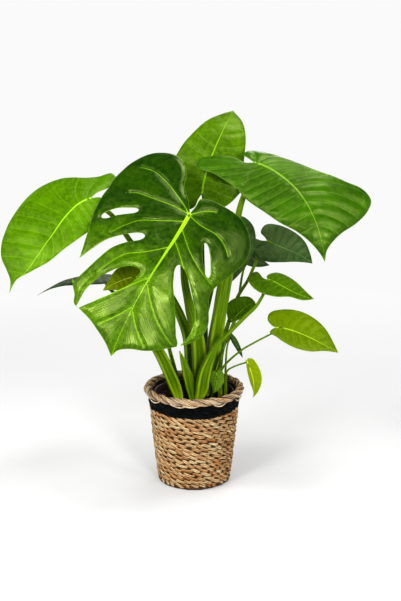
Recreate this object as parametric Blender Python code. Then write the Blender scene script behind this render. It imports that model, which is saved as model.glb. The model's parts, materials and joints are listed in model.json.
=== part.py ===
"""Potted monstera: a plastic nursery pot of soil in a woven basket, with leaves on stalks.

Metres, Z up, origin at the centre of the basket's underside. The viewer's side is -Y.
"""

import math
from dataclasses import dataclass

import bmesh
import bpy
import numpy as np
from mathutils import Vector
from mathutils.geometry import delaunay_2d_cdt

MM = 0.001

# Fits
GAP = 0.3 * MM

# Basket
BASKET_HEIGHT = 176 * MM
BASE_RADIUS = 64 * MM
WALL_TOP_RADIUS = 82 * MM
WALL_THICKNESS = 6 * MM
BASE_THICKNESS = 8 * MM
BAND_HEIGHT = 23 * MM
RIM_ROPE = 18 * MM
RIM_DEPTH = 15 * MM
WALL_ROWS = 16
BAND_ROWS = 3
ROW_RELIEF = 1.6 * MM
TURN_SEGMENTS = 40

# Nursery pot and soil
POT_TOP_RADIUS = 70 * MM
POT_BASE_RADIUS = 52 * MM
POT_WALL = 1.4 * MM
POT_LIP = 3 * MM
POT_BELOW_RIM = 13 * MM
SOIL_BELOW_LIP = 11 * MM
SOIL_EDGE_DROP = 3 * MM

# Plant
BLADE_THICKNESS = 1.0 * MM
PLANT_SIZE = 1.0
STALK_SIDES = 8
STALK_NOSE = 1.3 * MM
JOINT_GAP = 0.6 * MM
MOUTH_MARGIN = 2.5 * MM
MOUTH_SLOPE = 0.4
CURVE_STEPS = 4
STALK_STEPS = 3

POT_LIP_TOP = BASKET_HEIGHT - POT_BELOW_RIM
SOIL_TOP = POT_LIP_TOP - SOIL_BELOW_LIP


@dataclass(frozen=True)
class Finish:
    """Colour and surface of one material."""

    name: str
    colour: tuple
    roughness: float


SEAGRASS = Finish("seagrass", (0.60, 0.38, 0.18), 0.75)
BLACK_SEAGRASS = Finish("black_seagrass", (0.012, 0.018, 0.02), 0.7)
RIM_GRASS = Finish("rim_seagrass", (0.66, 0.42, 0.24), 0.75)
PLASTIC = Finish("terracotta_plastic", (0.26, 0.09, 0.05), 0.45)
SOIL = Finish("soil", (0.02, 0.012, 0.008), 0.95)
LEAF_GREEN = Finish("leaf_green", (0.06, 0.22, 0.015), 0.35)
LEAF_BRIGHT = Finish("leaf_bright", (0.16, 0.36, 0.02), 0.35)
LEAF_DARK = Finish("leaf_dark", (0.02, 0.08, 0.012), 0.35)
STALK_GREEN = Finish("stalk_green", (0.20, 0.40, 0.03), 0.4)


@dataclass(frozen=True)
class Slit:
    """An opening in a blade.

    spine: points (along, across) in mm from its root to its mouth or far end.
    widths: its width in mm at equal steps along the spine.
    mouth: whether its far end opens through the blade's edge.
    """

    spine: tuple
    widths: tuple
    mouth: bool = False


@dataclass(frozen=True)
class Leaf:
    """One leaf: a blade on its stalk.

    rib: four Bezier handles of the midrib, mm from the soil's centre.
    face, face_tip: where the upper side looks at the joint and at the tip.
    low, high: outline points (along, across) in mm for the two halves.
    fold, curl: how far the halves rise (degrees) and bend (radians a metre).
    heel: how the lobes behind the joint bend (radians a metre).
    foot, via: the stalk's start on the soil and the points it passes, mm.
    stalk: pairs of a share of the stalk's length and the radius there, mm.
    grid: spacing of the blade's inner points, mm.
    reach: how far below the blade the stalk turns towards it, mm.
    notch: how deep the joint sits behind the lobes, mm.
    """

    name: str
    finish: Finish
    rib: tuple
    face: tuple
    low: tuple
    high: tuple
    foot: tuple
    via: tuple
    stalk: tuple
    face_tip: tuple = None
    fold: tuple = (0.0, 0.0)
    curl: tuple = (-1.0, -1.0)
    heel: float = 0.0
    slits: tuple = ()
    grid: float = 24.0
    reach: float = 14.0
    notch: float = 3.0


@dataclass(frozen=True)
class Stem:
    """A stem without a blade.

    foot, via: its start on the soil and the points it passes, mm; the last is its tip.
    radii: pairs of a share of its length and the radius there, mm.
    """

    name: str
    finish: Finish
    foot: tuple
    via: tuple
    radii: tuple


FRONT = Leaf(
    name="front",
    finish=LEAF_GREEN,
    rib=((-5, -30, 336), (-41, -78, 273), (-87, -118, 240), (-134, -150, 120)),
    face=(-0.1, -1.0, 0.28),
    face_tip=(-0.05, -1.0, 0.12),
    fold=(-8, -8),
    curl=(-2.0, -2.5),
    heel=-1.5,
    low=(
        (-20, -14), (-40, -30), (-70, -40), (-92, -62), (-97, -92), (-80, -128),
        (-31, -156), (20, -161), (75, -152), (125, -134), (168, -121), (195, -116),
        (207, -106), (215, -99), (227, -94), (232, -80), (239, -60), (250, -40),
        (264, -18),
    ),
    high=(
        (-14, 3), (-30, 5), (-37, 22), (-39, 48), (-35, 78), (-25, 98),
        (-6, 115), (18, 123), (50, 114), (75, 104), (102, 101), (122, 112),
        (146, 126), (173, 129), (197, 119), (218, 99), (231, 83), (243, 66),
        (253, 46), (259, 24), (269, 6),
    ),
    slits=(
        Slit(((32, -84), (50, -114), (78, -134)), (12, 17, 13)),
        Slit(((76, -47), (96, -74), (116, -91), (143, -103), (192, -122)), (15, 17, 19, 21, 26), True),
        Slit(((134, -20), (153, -36), (192, -67), (230, -86)), (12, 27, 35, 34, 24, 5), True),
        Slit(
            ((92, 28), (117, 50), (159, 83), (184, 92), (201, 95), (214, 97), (224, 97)),
            (14, 29, 37, 30, 20, 7, 4),
            True,
        ),
        Slit(((34, 46), (54, 61), (79, 82)), (8, 12, 14, 12, 8)),
    ),
    foot=(4, -8),
    via=((8, -8, 51), (6, -6, 107), (-8, 2, 165), (-17, 10, 215), (-17, 16, 265), (-9, 18, 305)),
    stalk=((0, 6), (0.08, 10), (0.17, 12.5), (0.32, 12), (0.45, 8), (0.6, 5.8), (0.95, 3.8)),
    reach=22,
)

LEFT = Leaf(
    name="left",
    finish=LEAF_BRIGHT,
    rib=((-175, 30, 350), (-231, 3, 334), (-231, -38, 295), (-311, -50, 201)),
    face=(-0.25, -0.75, 0.75),
    face_tip=(-0.3, -0.9, 0.3),
    fold=(-4, -4),
    curl=(-1.5, -1.5),
    heel=-1.5,
    low=(
        (-12, -7), (-38, -12), (-60, -26), (-60, -46), (-34, -48), (-6, -58),
        (16, -78), (42, -95), (69, -98), (100, -95), (136, -88), (168, -74),
        (188, -54), (197, -32), (206, -14),
    ),
    high=(
        (-12, 5), (-18, 13), (-12, 25), (2, 38), (18, 50), (36, 56),
        (61, 53), (89, 43), (115, 32), (141, 23), (172, 7), (200, -5),
    ),
    foot=(-6, 14),
    via=((-8, 14, 40), (-14, 16, 112), (-42, 25, 177), (-111, 35, 273), (-147, 38, 322)),
    stalk=((0, 6), (0.12, 8), (0.35, 8), (0.55, 5.5), (0.95, 3.4)),
    grid=26,
)

TOP = Leaf(
    name="top",
    finish=LEAF_GREEN,
    rib=((14, 60, 350), (19, 96, 395), (41, 84, 440), (70, 160, 486)),
    face=(-0.2, -1.0, 0.35),
    face_tip=(-0.2, -0.9, 0.6),
    fold=(-6, -6),
    curl=(-1.5, -1.5),
    heel=-1.0,
    low=(
        (-10, -5), (-22, -12), (-28, -28), (-14, -50), (14, -66), (50, -64),
        (90, -55), (130, -42), (160, -24),
    ),
    high=(
        (-10, 6), (-24, 12), (-28, 28), (-12, 44), (14, 56), (44, 66),
        (78, 62), (110, 52), (145, 38), (168, 18),
    ),
    foot=(10, 34),
    via=((18, 45, 90), (16, 60, 179), (14, 85, 282), (17, 80, 330)),
    stalk=((0, 8), (0.45, 4.6), (0.95, 3.2)),
)

RIGHT = Leaf(
    name="right",
    finish=LEAF_BRIGHT,
    rib=((101, 40, 410), (151, 18, 402), (205, -78, 365), (218, -70, 259)),
    face=(-0.35, -0.55, 1.0),
    face_tip=(0.1, -1.0, 0.35),
    fold=(-6, -6),
    curl=(-2.2, -2.2),
    heel=-1.5,
    low=(
        (-12, -5), (-40, 2), (-76, -2), (-99, -14), (-96, -30), (-56, -40),
        (-20, -54), (18, -66), (60, -70), (108, -64), (144, -54), (174, -36),
        (200, -20), (226, -6),
    ),
    high=(
        (-10, 6), (-24, 14), (-18, 30), (20, 34), (55, 40), (90, 52),
        (125, 80), (150, 106), (166, 110), (180, 96), (192, 70), (204, 30),
        (222, 6),
    ),
    foot=(20, 6),
    via=((31, 8, 67), (36, 9, 100), (45, 12, 152), (53, 16, 199), (73, 25, 303), (84, 30, 348)),
    stalk=((0, 7), (0.08, 11), (0.17, 12.5), (0.5, 12), (0.62, 7), (0.95, 3.4)),
    grid=26,
)

SHADE = Leaf(
    name="shade",
    finish=LEAF_DARK,
    rib=((129, 110, 259), (152, 102, 248), (183, 88, 244), (211, 85, 221)),
    face=(-0.2, -0.8, 1.0),
    curl=(-2.0, -2.0),
    low=((-6, -5), (-17, -8), (-14, -22), (0, -38), (20, -40), (45, -30), (72, -14)),
    high=((-6, 5), (-16, 10), (-16, 30), (4, 42), (34, 42), (62, 32), (82, 14)),
    foot=(32, 34),
    via=((50, 60, 77), (79, 100, 156), (98, 115, 184), (120, 124, 232)),
    stalk=((0, 6), (0.45, 3.4), (0.95, 2.4)),
    grid=16,
)

BEHIND = Leaf(
    name="behind",
    finish=LEAF_DARK,
    rib=((62, 66, 290), (72, 50, 255), (76, 46, 225), (66, 50, 196)),
    face=(0.1, -1.0, 0.3),
    curl=(-2.0, -2.0),
    low=((-6, -6), (-18, -10), (-16, -28), (4, -42), (30, -42), (58, -28), (80, -10)),
    high=((-6, 6), (-18, 12), (-14, 30), (6, 42), (34, 40), (60, 26), (82, 10)),
    foot=(-8, 44),
    via=((28, 80, 155), (50, 92, 250)),
    stalk=((0, 5), (0.45, 3.2), (0.95, 2.4)),
    grid=18,
)

BACK_LEFT = Leaf(
    name="back_left",
    finish=LEAF_DARK,
    rib=((-153, 110, 189), (-195, 104, 191), (-241, 90, 186), (-283, 85, 163)),
    face=(-0.1, 0.0, 1.0),
    curl=(-2.0, -2.0),
    low=((-6, -5), (-16, -12), (-12, -34), (18, -46), (52, -40), (88, -24), (116, -8)),
    high=((-6, 5), (-16, 14), (-10, 36), (20, 46), (56, 36), (90, 16), (116, 2)),
    foot=(-28, -22),
    via=((-40, -25, 44), (-62, -20, 90), (-95, 10, 128), (-138, 88, 160)),
    stalk=((0, 8), (0.1, 11), (0.28, 10), (0.42, 8), (0.65, 4), (0.95, 2.6)),
    grid=20,
)

INNER = Leaf(
    name="inner",
    finish=LEAF_BRIGHT,
    rib=((-96, 26, 212), (-122, 18, 210), (-140, 8, 203), (-158, 2, 192)),
    face=(0.1, -1.0, 0.7),
    curl=(-2.0, -2.0),
    low=((-5, -4), (-12, -8), (-8, -22), (12, -28), (34, -22), (52, -10)),
    high=((-5, 4), (-12, 8), (-8, 22), (12, 28), (34, 22), (52, 10)),
    foot=(-28, 26),
    via=((-40, 34, 60), (-60, 40, 129), (-90, 46, 185)),
    stalk=((0, 4.5), (0.45, 3.0), (0.95, 2.2)),
    grid=14,
)

GREY = Leaf(
    name="grey",
    finish=LEAF_DARK,
    rib=((96, 150, 224), (108, 146, 214), (122, 142, 208), (138, 138, 206)),
    face=(-0.1, -0.8, 0.8),
    curl=(-2.0, -2.0),
    low=((-4, -3), (-9, -6), (-4, -15), (12, -17), (30, -10)),
    high=((-4, 3), (-9, 7), (-4, 16), (12, 18), (30, 10)),
    foot=(16, 56),
    via=((30, 64, 40), (69, 104, 93), (90, 156, 190)),
    stalk=((0, 4), (0.45, 2.6), (0.95, 1.8)),
    grid=12,
)

MID_RIGHT = Leaf(
    name="mid_right",
    finish=LEAF_GREEN,
    rib=((126, 0, 213), (148, -4, 208), (169, -12, 188), (207, -12, 181)),
    face=(-0.1, -0.7, 1.0),
    curl=(-3.0, -3.0),
    low=((-6, 0), (-20, 10), (-30, 0), (-28, -16), (-18, -26), (0, -32), (26, -27), (50, -12), (70, -9)),
    high=((-2, 5), (8, 20), (24, 25), (52, 22), (76, 10)),
    foot=(8, -37),
    via=((12, -38, 22), (19, -39, 61), (40, -40, 106), (60, -36, 127), (90, -20, 153), (109, -8, 169)),
    stalk=((0, 4.5), (0.06, 8), (0.13, 11.5), (0.22, 10.5), (0.33, 7), (0.45, 4), (0.95, 2.2)),
    grid=14,
    reach=10,
    notch=2,
)

MID = Leaf(
    name="mid",
    finish=LEAF_GREEN,
    rib=((64, 50, 124), (79, 49, 136), (90, 44, 155), (108, 43, 161)),
    face=(-0.1, -0.9, 0.6),
    curl=(-2.0, -2.0),
    low=((0, -3), (12, -8), (30, -14), (48, -15), (58, -8)),
    high=((-1, 5), (5, 18), (20, 28), (36, 24), (52, 13)),
    foot=(44, 14),
    via=((46, 22, 40), (52, 36, 78)),
    stalk=((0, 4.5), (0.45, 3.0), (0.95, 2.0)),
    grid=12,
    reach=10,
    notch=2,
)

LOW_RIGHT = Leaf(
    name="low_right",
    finish=LEAF_BRIGHT,
    rib=((141, 0, 126), (164, -4, 131), (208, -12, 109), (251, -12, 84)),
    face=(-0.1, -0.9, 0.7),
    curl=(-2.0, -2.0),
    low=((-5, -2), (-10, -7), (0, -16), (22, -25), (48, -28), (75, -22), (98, -9)),
    high=((-4, 4), (-12, 18), (-8, 29), (8, 35), (30, 39), (55, 37), (80, 29), (104, 13)),
    foot=(46, -3),
    via=((46, -3, 24), (48, -4, 50), (80, -4, 84), (106, 4, 98)),
    stalk=((0, 4), (0.3, 1.8), (0.95, 1.4)),
    grid=16,
    reach=10,
    notch=2,
)

HANGING = Leaf(
    name="hanging",
    finish=LEAF_BRIGHT,
    rib=((91, -30, 77), (98, -36, 61), (109, -39, 36), (102, -35, 9)),
    face=(-0.3, -1.0, 0.2),
    curl=(-2.0, -2.0),
    low=((-1, -1), (8, -4), (26, -7), (44, -6), (60, -1)),
    high=((-1, 3), (2, 10), (12, 14), (24, 16), (38, 15), (54, 9)),
    foot=(55, -8),
    via=((55, -8, 28), (58, -10, 50), (68, -15, 59)),
    stalk=((0, 3), (0.4, 1.5), (0.95, 1.2)),
    grid=10,
    reach=8,
    notch=2,
)

IN_POT = Leaf(
    name="in_pot",
    finish=LEAF_GREEN,
    rib=((39, -18, 51), (42, -23, 39), (39, -27, 25), (33, -29, 15)),
    face=(0.1, -1.0, 0.4),
    curl=(-2.0, -2.0),
    low=((-3, -3), (0, -10), (14, -13), (28, -7)),
    high=((-3, 3), (0, 10), (14, 13), (28, 7)),
    foot=(44, -13),
    via=((44, -13, 20), (42, -12, 38)),
    stalk=((0, 3), (0.45, 2.2), (0.95, 1.6)),
    grid=9,
    reach=7,
    notch=1.5,
)

NARROW = Leaf(
    name="narrow",
    finish=LEAF_DARK,
    rib=((64, 30, 106), (72, 28, 94), (80, 25, 80), (86, 22, 64)),
    face=(-0.4, -1.0, 0.3),
    curl=(-2.0, -2.0),
    low=((0, -2), (10, -5), (24, -5), (38, -3)),
    high=((0, 2), (10, 5), (24, 5), (38, 3)),
    foot=(56, 12),
    via=((56, 22, 50), (60, 32, 88)),
    stalk=((0, 2.6), (0.45, 1.8), (0.95, 1.2)),
    grid=8,
    reach=6,
    notch=1.5,
)

BUD = Stem(
    name="bud_stem",
    finish=LEAF_DARK,
    foot=(31, -9),
    via=((34, -8, 40), (44, -7, 74), (54, -5, 92)),
    radii=((0, 1.8), (0.6, 1.4), (0.85, 2.6), (1, 0.5)),
)

SHEATH = Stem(
    name="sheath",
    finish=STALK_GREEN,
    foot=(-3, -27),
    via=((-9, -27, 35), (-16, -24, 62), (-25, -22, 90)),
    radii=((0, 5), (0.3, 8), (0.55, 8), (0.8, 4.5), (1, 1)),
)

STEMS = (BUD, SHEATH)

LEAVES = (
    FRONT, LEFT, TOP, RIGHT, SHADE, BEHIND, BACK_LEFT, INNER,
    GREY, MID_RIGHT, MID, LOW_RIGHT, HANGING, IN_POT, NARROW,
)



def clear_scene():
    """Remove every object the file starts with."""
    for obj in list(bpy.data.objects):
        bpy.data.objects.remove(obj)


def material(finish):
    """The Principled material of a finish, made once."""
    found = bpy.data.materials.get(finish.name)
    if found:
        return found
    made = bpy.data.materials.new(finish.name)
    made.use_nodes = True
    shader = made.node_tree.nodes["Principled BSDF"]
    shader.inputs["Base Color"].default_value = (*finish.colour, 1.0)
    shader.inputs["Roughness"].default_value = finish.roughness
    shader.inputs["Metallic"].default_value = 0.0
    return made


def add_object(name, points, faces, finish, smooth=True):
    """A mesh object from points and faces, with outward normals."""
    mesh = bpy.data.meshes.new(name)
    mesh.from_pydata([tuple(p) for p in points], [], [tuple(f) for f in faces])
    work = bmesh.new()
    work.from_mesh(mesh)
    bmesh.ops.recalc_face_normals(work, faces=work.faces)
    work.to_mesh(mesh)
    work.free()
    if smooth:
        mesh.shade_smooth()
    mesh.materials.append(material(finish))
    obj = bpy.data.objects.new(name, mesh)
    bpy.context.scene.collection.objects.link(obj)
    return obj


def turned(name, profile, finish):
    """A closed ring: the (radius, height) profile turned about Z."""
    count = len(profile)
    points = []
    for step in range(TURN_SEGMENTS):
        turn = 2 * math.pi * step / TURN_SEGMENTS
        for radius, height in profile:
            points.append((radius * math.cos(turn), radius * math.sin(turn), height))
    faces = []
    for step in range(TURN_SEGMENTS):
        here = step * count
        there = (step + 1) % TURN_SEGMENTS * count
        for k in range(count):
            after = (k + 1) % count
            faces.append((here + k, there + k, there + after, here + after))
    return add_object(name, points, faces, finish)


def turned_solid(name, profile, finish):
    """A solid: the open (radius, height) profile turned about Z and closed on the axis."""
    count = len(profile)
    points = []
    for step in range(TURN_SEGMENTS):
        turn = 2 * math.pi * step / TURN_SEGMENTS
        for radius, height in profile:
            points.append((radius * math.cos(turn), radius * math.sin(turn), height))
    points.append((0.0, 0.0, profile[0][1]))
    points.append((0.0, 0.0, profile[-1][1]))
    first = len(points) - 2
    last = len(points) - 1
    faces = []
    for step in range(TURN_SEGMENTS):
        here = step * count
        there = (step + 1) % TURN_SEGMENTS * count
        for k in range(count - 1):
            faces.append((here + k, there + k, there + k + 1, here + k + 1))
        faces.append((first, there, here))
        faces.append((last, here + count - 1, there + count - 1))
    return add_object(name, points, faces, finish)


def wall_radius(height):
    """Outer radius of the basket's wall at a height."""
    top = BASKET_HEIGHT - RIM_DEPTH
    share = min(max(height / top, 0.0), 1.0)
    return BASE_RADIUS + (WALL_TOP_RADIUS - BASE_RADIUS) * share**0.8


def woven_profile(bottom, top, rows):
    """Profile of stacked woven rows: bulging outside, plain inside."""
    pitch = (top - bottom) / rows
    profile = [(wall_radius(bottom) - ROW_RELIEF, bottom)]
    for row in range(rows):
        middle = bottom + (row + 0.5) * pitch
        upper = bottom + (row + 1) * pitch
        profile.append((wall_radius(middle), middle))
        profile.append((wall_radius(upper) - ROW_RELIEF, upper))
    profile.append((wall_radius(top) - WALL_THICKNESS, top))
    profile.append((wall_radius(bottom) - WALL_THICKNESS, bottom))
    return profile


def basket():
    """Base, wall, black band and rope rim."""
    radius = wall_radius(0.0)
    edge = BASE_THICKNESS / 4
    turned_solid(
        "basket_base",
        (
            (radius - edge, 0.0),
            (radius, edge),
            (radius, BASE_THICKNESS - edge),
            (radius - edge, BASE_THICKNESS),
        ),
        SEAGRASS,
    )
    rim_bottom = BASKET_HEIGHT - RIM_DEPTH
    band_bottom = rim_bottom - GAP - BAND_HEIGHT
    wall = woven_profile(BASE_THICKNESS + GAP, band_bottom - GAP, WALL_ROWS)
    turned("basket_wall", wall, SEAGRASS)
    band = woven_profile(band_bottom, rim_bottom - GAP, BAND_ROWS)
    turned("basket_band", band, BLACK_SEAGRASS)
    middle = wall_radius(rim_bottom) - WALL_THICKNESS / 2 + 1.5 * MM
    rope = []
    for step in range(10):
        turn = 2 * math.pi * (step + 0.5) / 10
        rope.append(
            (
                middle + RIM_ROPE / 2 * math.cos(turn),
                rim_bottom + RIM_DEPTH / 2 * (1 + math.sin(turn)),
            )
        )
    turned("basket_rim", rope, RIM_GRASS)


def pot_radius(height):
    """Outer radius of the nursery pot at a height."""
    bottom = BASE_THICKNESS + GAP
    share = (height - bottom) / (POT_LIP_TOP - bottom)
    return POT_BASE_RADIUS + (POT_TOP_RADIUS - POT_BASE_RADIUS) * share


def nursery_pot():
    """Thin plastic pot with a turned-out lip, standing on the basket's base."""
    bottom = BASE_THICKNESS + GAP
    lip = POT_LIP_TOP - 4 * MM
    floor = bottom + 2 * MM
    turned_solid(
        "nursery_pot",
        (
            (pot_radius(bottom), bottom),
            (pot_radius(lip), lip),
            (POT_TOP_RADIUS + POT_LIP - 1.5 * MM, lip),
            (POT_TOP_RADIUS + POT_LIP - 1.5 * MM, POT_LIP_TOP),
            (pot_radius(POT_LIP_TOP) - POT_WALL, POT_LIP_TOP),
            (pot_radius(floor) - POT_WALL, floor),
        ),
        PLASTIC,
    )


def soil():
    """Soil that fills the nursery pot, level in the middle and lower at its edge."""
    floor = BASE_THICKNESS + GAP + 2 * MM + GAP
    edge = SOIL_TOP - SOIL_EDGE_DROP
    play = POT_WALL + 0.8 * MM
    turned_solid(
        "soil",
        (
            (pot_radius(floor) - play, floor),
            (pot_radius(edge) - play, edge),
            (pot_radius(edge) - play - 4 * MM, SOIL_TOP),
        ),
        SOIL,
    )


def unit(vectors):
    """Vectors scaled to length one."""
    return vectors / np.linalg.norm(vectors, axis=-1, keepdims=True)


def smooth_through(points, steps):
    """Centripetal Catmull-Rom curve through the points, ends included."""
    given = np.asarray(points, float)
    given = np.vstack([2 * given[0] - given[1], given, 2 * given[-1] - given[-2]])
    curve = []
    for k in range(1, len(given) - 2):
        quad = given[k - 1 : k + 3]
        knots = [0.0]
        for a, b in zip(quad, quad[1:]):
            knots.append(knots[-1] + math.sqrt(np.linalg.norm(b - a)))
        for step in range(steps):
            at = knots[1] + (knots[2] - knots[1]) * step / steps
            layer = list(quad)
            for span in (1, 2, 3):
                layer = [
                    blend(layer[i], layer[i + 1], *span_ends(knots, i, span), at)
                    for i in range(len(layer) - 1)
                ]
            curve.append(layer[0])
    curve.append(given[-2])
    return np.array(curve)


def span_ends(knots, i, span):
    """Knots that bound one blend of the Catmull-Rom pyramid."""
    if span == 1:
        return knots[i], knots[i + 1]
    if span == 2:
        return knots[i], knots[i + 2]
    return knots[i + 1], knots[i + 2]


def blend(a, b, start, end, at):
    """Linear blend of two points between two knots."""
    share = (at - start) / (end - start)
    return a * (1 - share) + b * share


class BladeSurface:
    """The curved sheet of a leaf: maps (along, across) in metres to a place."""

    def __init__(self, leaf):
        """Sample the midrib of the leaf."""
        size = MM * PLANT_SIZE
        handles = np.array(leaf.rib, float) * size + (0.0, 0.0, SOIL_TOP)
        t = np.linspace(0.0, 1.0, 121)[:, None]
        self.line = (
            (1 - t) ** 3 * handles[0]
            + 3 * (1 - t) ** 2 * t * handles[1]
            + 3 * (1 - t) * t**2 * handles[2]
            + t**3 * handles[3]
        )
        self.tangent = unit(np.gradient(self.line, axis=0))
        steps = np.linalg.norm(np.diff(self.line, axis=0), axis=1)
        self.reach = np.concatenate([[0.0], np.cumsum(steps)])
        self.length = self.reach[-1]
        self.face = np.array(leaf.face, float)
        self.face_tip = np.array(leaf.face_tip or leaf.face, float)
        self.fold = np.radians(leaf.fold)
        self.curl = np.array(leaf.curl)
        self.heel = leaf.heel if abs(leaf.heel) > 1e-3 else 1e-3

    def along_rib(self, values, along):
        """A quantity of the midrib, read at distances along it."""
        columns = [np.interp(along, self.reach, values[:, k]) for k in range(3)]
        return np.stack(columns, axis=-1)

    def at(self, along, across):
        """Place on the sheet's middle."""
        on_rib = np.clip(along, 0.0, self.length)
        place = self.along_rib(self.line, on_rib)
        forward = unit(self.along_rib(self.tangent, on_rib))
        share = (on_rib / self.length)[..., None]
        side = unit(np.cross(self.face * (1 - share) + self.face_tip * share, forward))
        up = np.cross(forward, side)
        back = np.maximum(-along, 0.0)[..., None]
        place = place - forward * np.sin(self.heel * back) / self.heel
        place = place + up * (1 - np.cos(self.heel * back)) / self.heel
        place = place + forward * np.maximum(along - self.length, 0.0)[..., None]
        half = (across > 0).astype(int)
        fold = self.fold[half]
        curl = self.curl[half]
        run = np.abs(across)
        out = (np.sin(fold + curl * run) - np.sin(fold)) / curl
        rise = (np.cos(fold) - np.cos(fold + curl * run)) / curl
        return place + side * (np.sign(across) * out)[..., None] + up * rise[..., None]

    def normal(self, along, across):
        """Unit normal on the upper side."""
        step = 1 * MM
        du = self.at(along + step, across) - self.at(along - step, across)
        dv = self.at(along, across + step) - self.at(along, across - step)
        return unit(np.cross(du, dv))


def outline(leaf):
    """Closed outline of a blade, (along, across) in metres."""
    surface_tip = BladeSurface(leaf).length / (MM * PLANT_SIZE)
    notch = (leaf.notch, 0.0)
    low = smooth_through([notch, *leaf.low, (surface_tip, 0.0)], CURVE_STEPS - 1)
    high = smooth_through([notch, *leaf.high, (surface_tip, 0.0)], CURVE_STEPS - 1)
    loop = np.vstack([low, high[-2:0:-1]])
    return loop * MM * PLANT_SIZE


def slit_loop(slit):
    """Closed outline of a slit, (along, across) in metres."""
    spine = smooth_through(slit.spine, CURVE_STEPS)
    shares = np.linspace(0.0, 1.0, len(spine))
    stations = np.linspace(0.0, 1.0, len(slit.widths))
    half = np.interp(shares, stations, slit.widths) / 2
    half[0] = 0.0
    half[-1] *= slit.mouth
    axis = np.gradient(spine, axis=0)
    side = unit(np.stack([-axis[:, 1], axis[:, 0]], axis=1))
    left = spine + half[:, None] * side
    right = spine - half[:, None] * side
    last = None if slit.mouth else -1
    return np.vstack([left, right[1:last][::-1]]) * MM * PLANT_SIZE


def inside(points, loop):
    """Which points lie inside a closed loop."""
    x, y = points[:, 0][:, None], points[:, 1][:, None]
    x0, y0 = loop[:, 0], loop[:, 1]
    x1, y1 = np.roll(x0, -1), np.roll(y0, -1)
    spans = (y0 > y) != (y1 > y)
    rise = np.where(y1 == y0, 1.0, y1 - y0)
    hits = spans & (x < (x1 - x0) * (y - y0) / rise + x0)
    return hits.sum(axis=1) % 2 == 1


def blade_triangles(leaf):
    """Flat triangulation of a blade, slits left open."""
    loops = [outline(leaf)] + [slit_loop(slit) for slit in leaf.slits]
    step = leaf.grid * MM * PLANT_SIZE
    edge = loops[0]
    length = edge[:, 0].max()
    rows = np.arange(edge[:, 0].min(), length, step)
    half = math.ceil(np.abs(edge[:, 1]).max() / step)
    columns = np.arange(-half, half + 1) * step
    grid = [(row, column) for row in rows for column in columns if column]
    grid += [(row, 0.0) for row in np.arange(step / 3, length, step / 2)]
    grid = np.array(grid)
    near = np.vstack(loops)
    apart = np.linalg.norm(grid[:, None] - near[None], axis=2).min(axis=1)
    grid = grid[inside(grid, edge) & (apart > 0.4 * step)]
    points = [Vector(p) for p in np.vstack([*loops, grid])]
    edges = []
    start = 0
    for loop in loops:
        count = len(loop)
        edges += [(start + k, start + (k + 1) % count) for k in range(count)]
        start += count
    flat, _, faces, _, _, _ = delaunay_2d_cdt(points, edges, [], 0, 1e-6)
    flat = np.array([tuple(p) for p in flat])
    faces = np.array(faces)
    middles = flat[faces].mean(axis=1)
    kept = inside(middles, edge)
    for loop in loops[1:]:
        kept &= ~inside(middles, loop)
    return flat, faces[kept]


def thick_sheet(surface, flat, faces):
    """Closed mesh of a blade: both sides and its edge."""
    used, index = np.unique(faces, return_inverse=True)
    faces = index.reshape(faces.shape)
    along, across = flat[used].T
    middle = surface.at(along, across)
    half = surface.normal(along, across) * BLADE_THICKNESS / 2
    count = len(used)
    points = np.vstack([middle + half, middle - half])
    ends = {}
    for a, b, c in faces:
        for pair in ((a, b), (b, c), (c, a)):
            ends[pair] = True
    walls = [(a, b, b + count, a + count) for a, b in ends if (b, a) not in ends]
    upper = [tuple(face) for face in faces]
    lower = [(a + count, c + count, b + count) for a, b, c in faces]
    return points, upper + lower + walls


def blade(leaf):
    """The blade of a leaf."""
    surface = BladeSurface(leaf)
    flat, faces = blade_triangles(leaf)
    points, solid = thick_sheet(surface, flat, faces)
    add_object(f"leaf_{leaf.name}", points, solid, leaf.finish)


def swept(name, path, radii, finish):
    """A round stalk along a path, closed by flat ends."""
    tangent = unit(np.gradient(path, axis=0))
    tangent[0] = (0.0, 0.0, 1.0)
    side = np.array((1.0, 0.0, 0.0))
    points = []
    for place, forward, radius in zip(path, tangent, radii):
        side = unit(side - forward * np.dot(side, forward))
        other = np.cross(forward, side)
        for k in range(STALK_SIDES):
            turn = 2 * math.pi * k / STALK_SIDES
            points.append(place + radius * (math.cos(turn) * side + math.sin(turn) * other))
    faces = []
    for ring in range(len(path) - 1):
        for k in range(STALK_SIDES):
            a = ring * STALK_SIDES + k
            b = ring * STALK_SIDES + (k + 1) % STALK_SIDES
            faces.append((a, b, b + STALK_SIDES, a + STALK_SIDES))
    last = (len(path) - 1) * STALK_SIDES
    faces.append(tuple(range(STALK_SIDES))[::-1])
    faces.append(tuple(range(last, last + STALK_SIDES)))
    return add_object(name, points, faces, finish)


def held_in_mouth(point, radii):
    """Move a low point of a stalk towards the axis, clear of the pot's lip and the rim."""
    radius = max(size for _, size in radii[:2]) * MM * PLANT_SIZE
    room = POT_TOP_RADIUS - POT_WALL - radius - MOUTH_MARGIN
    room += MOUTH_SLOPE * max(point[2] - POT_LIP_TOP, 0.0)
    reach = math.hypot(point[0], point[1])
    shrink = min(room / reach, 1.0)
    return np.array((point[0] * shrink, point[1] * shrink, point[2]))


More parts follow.
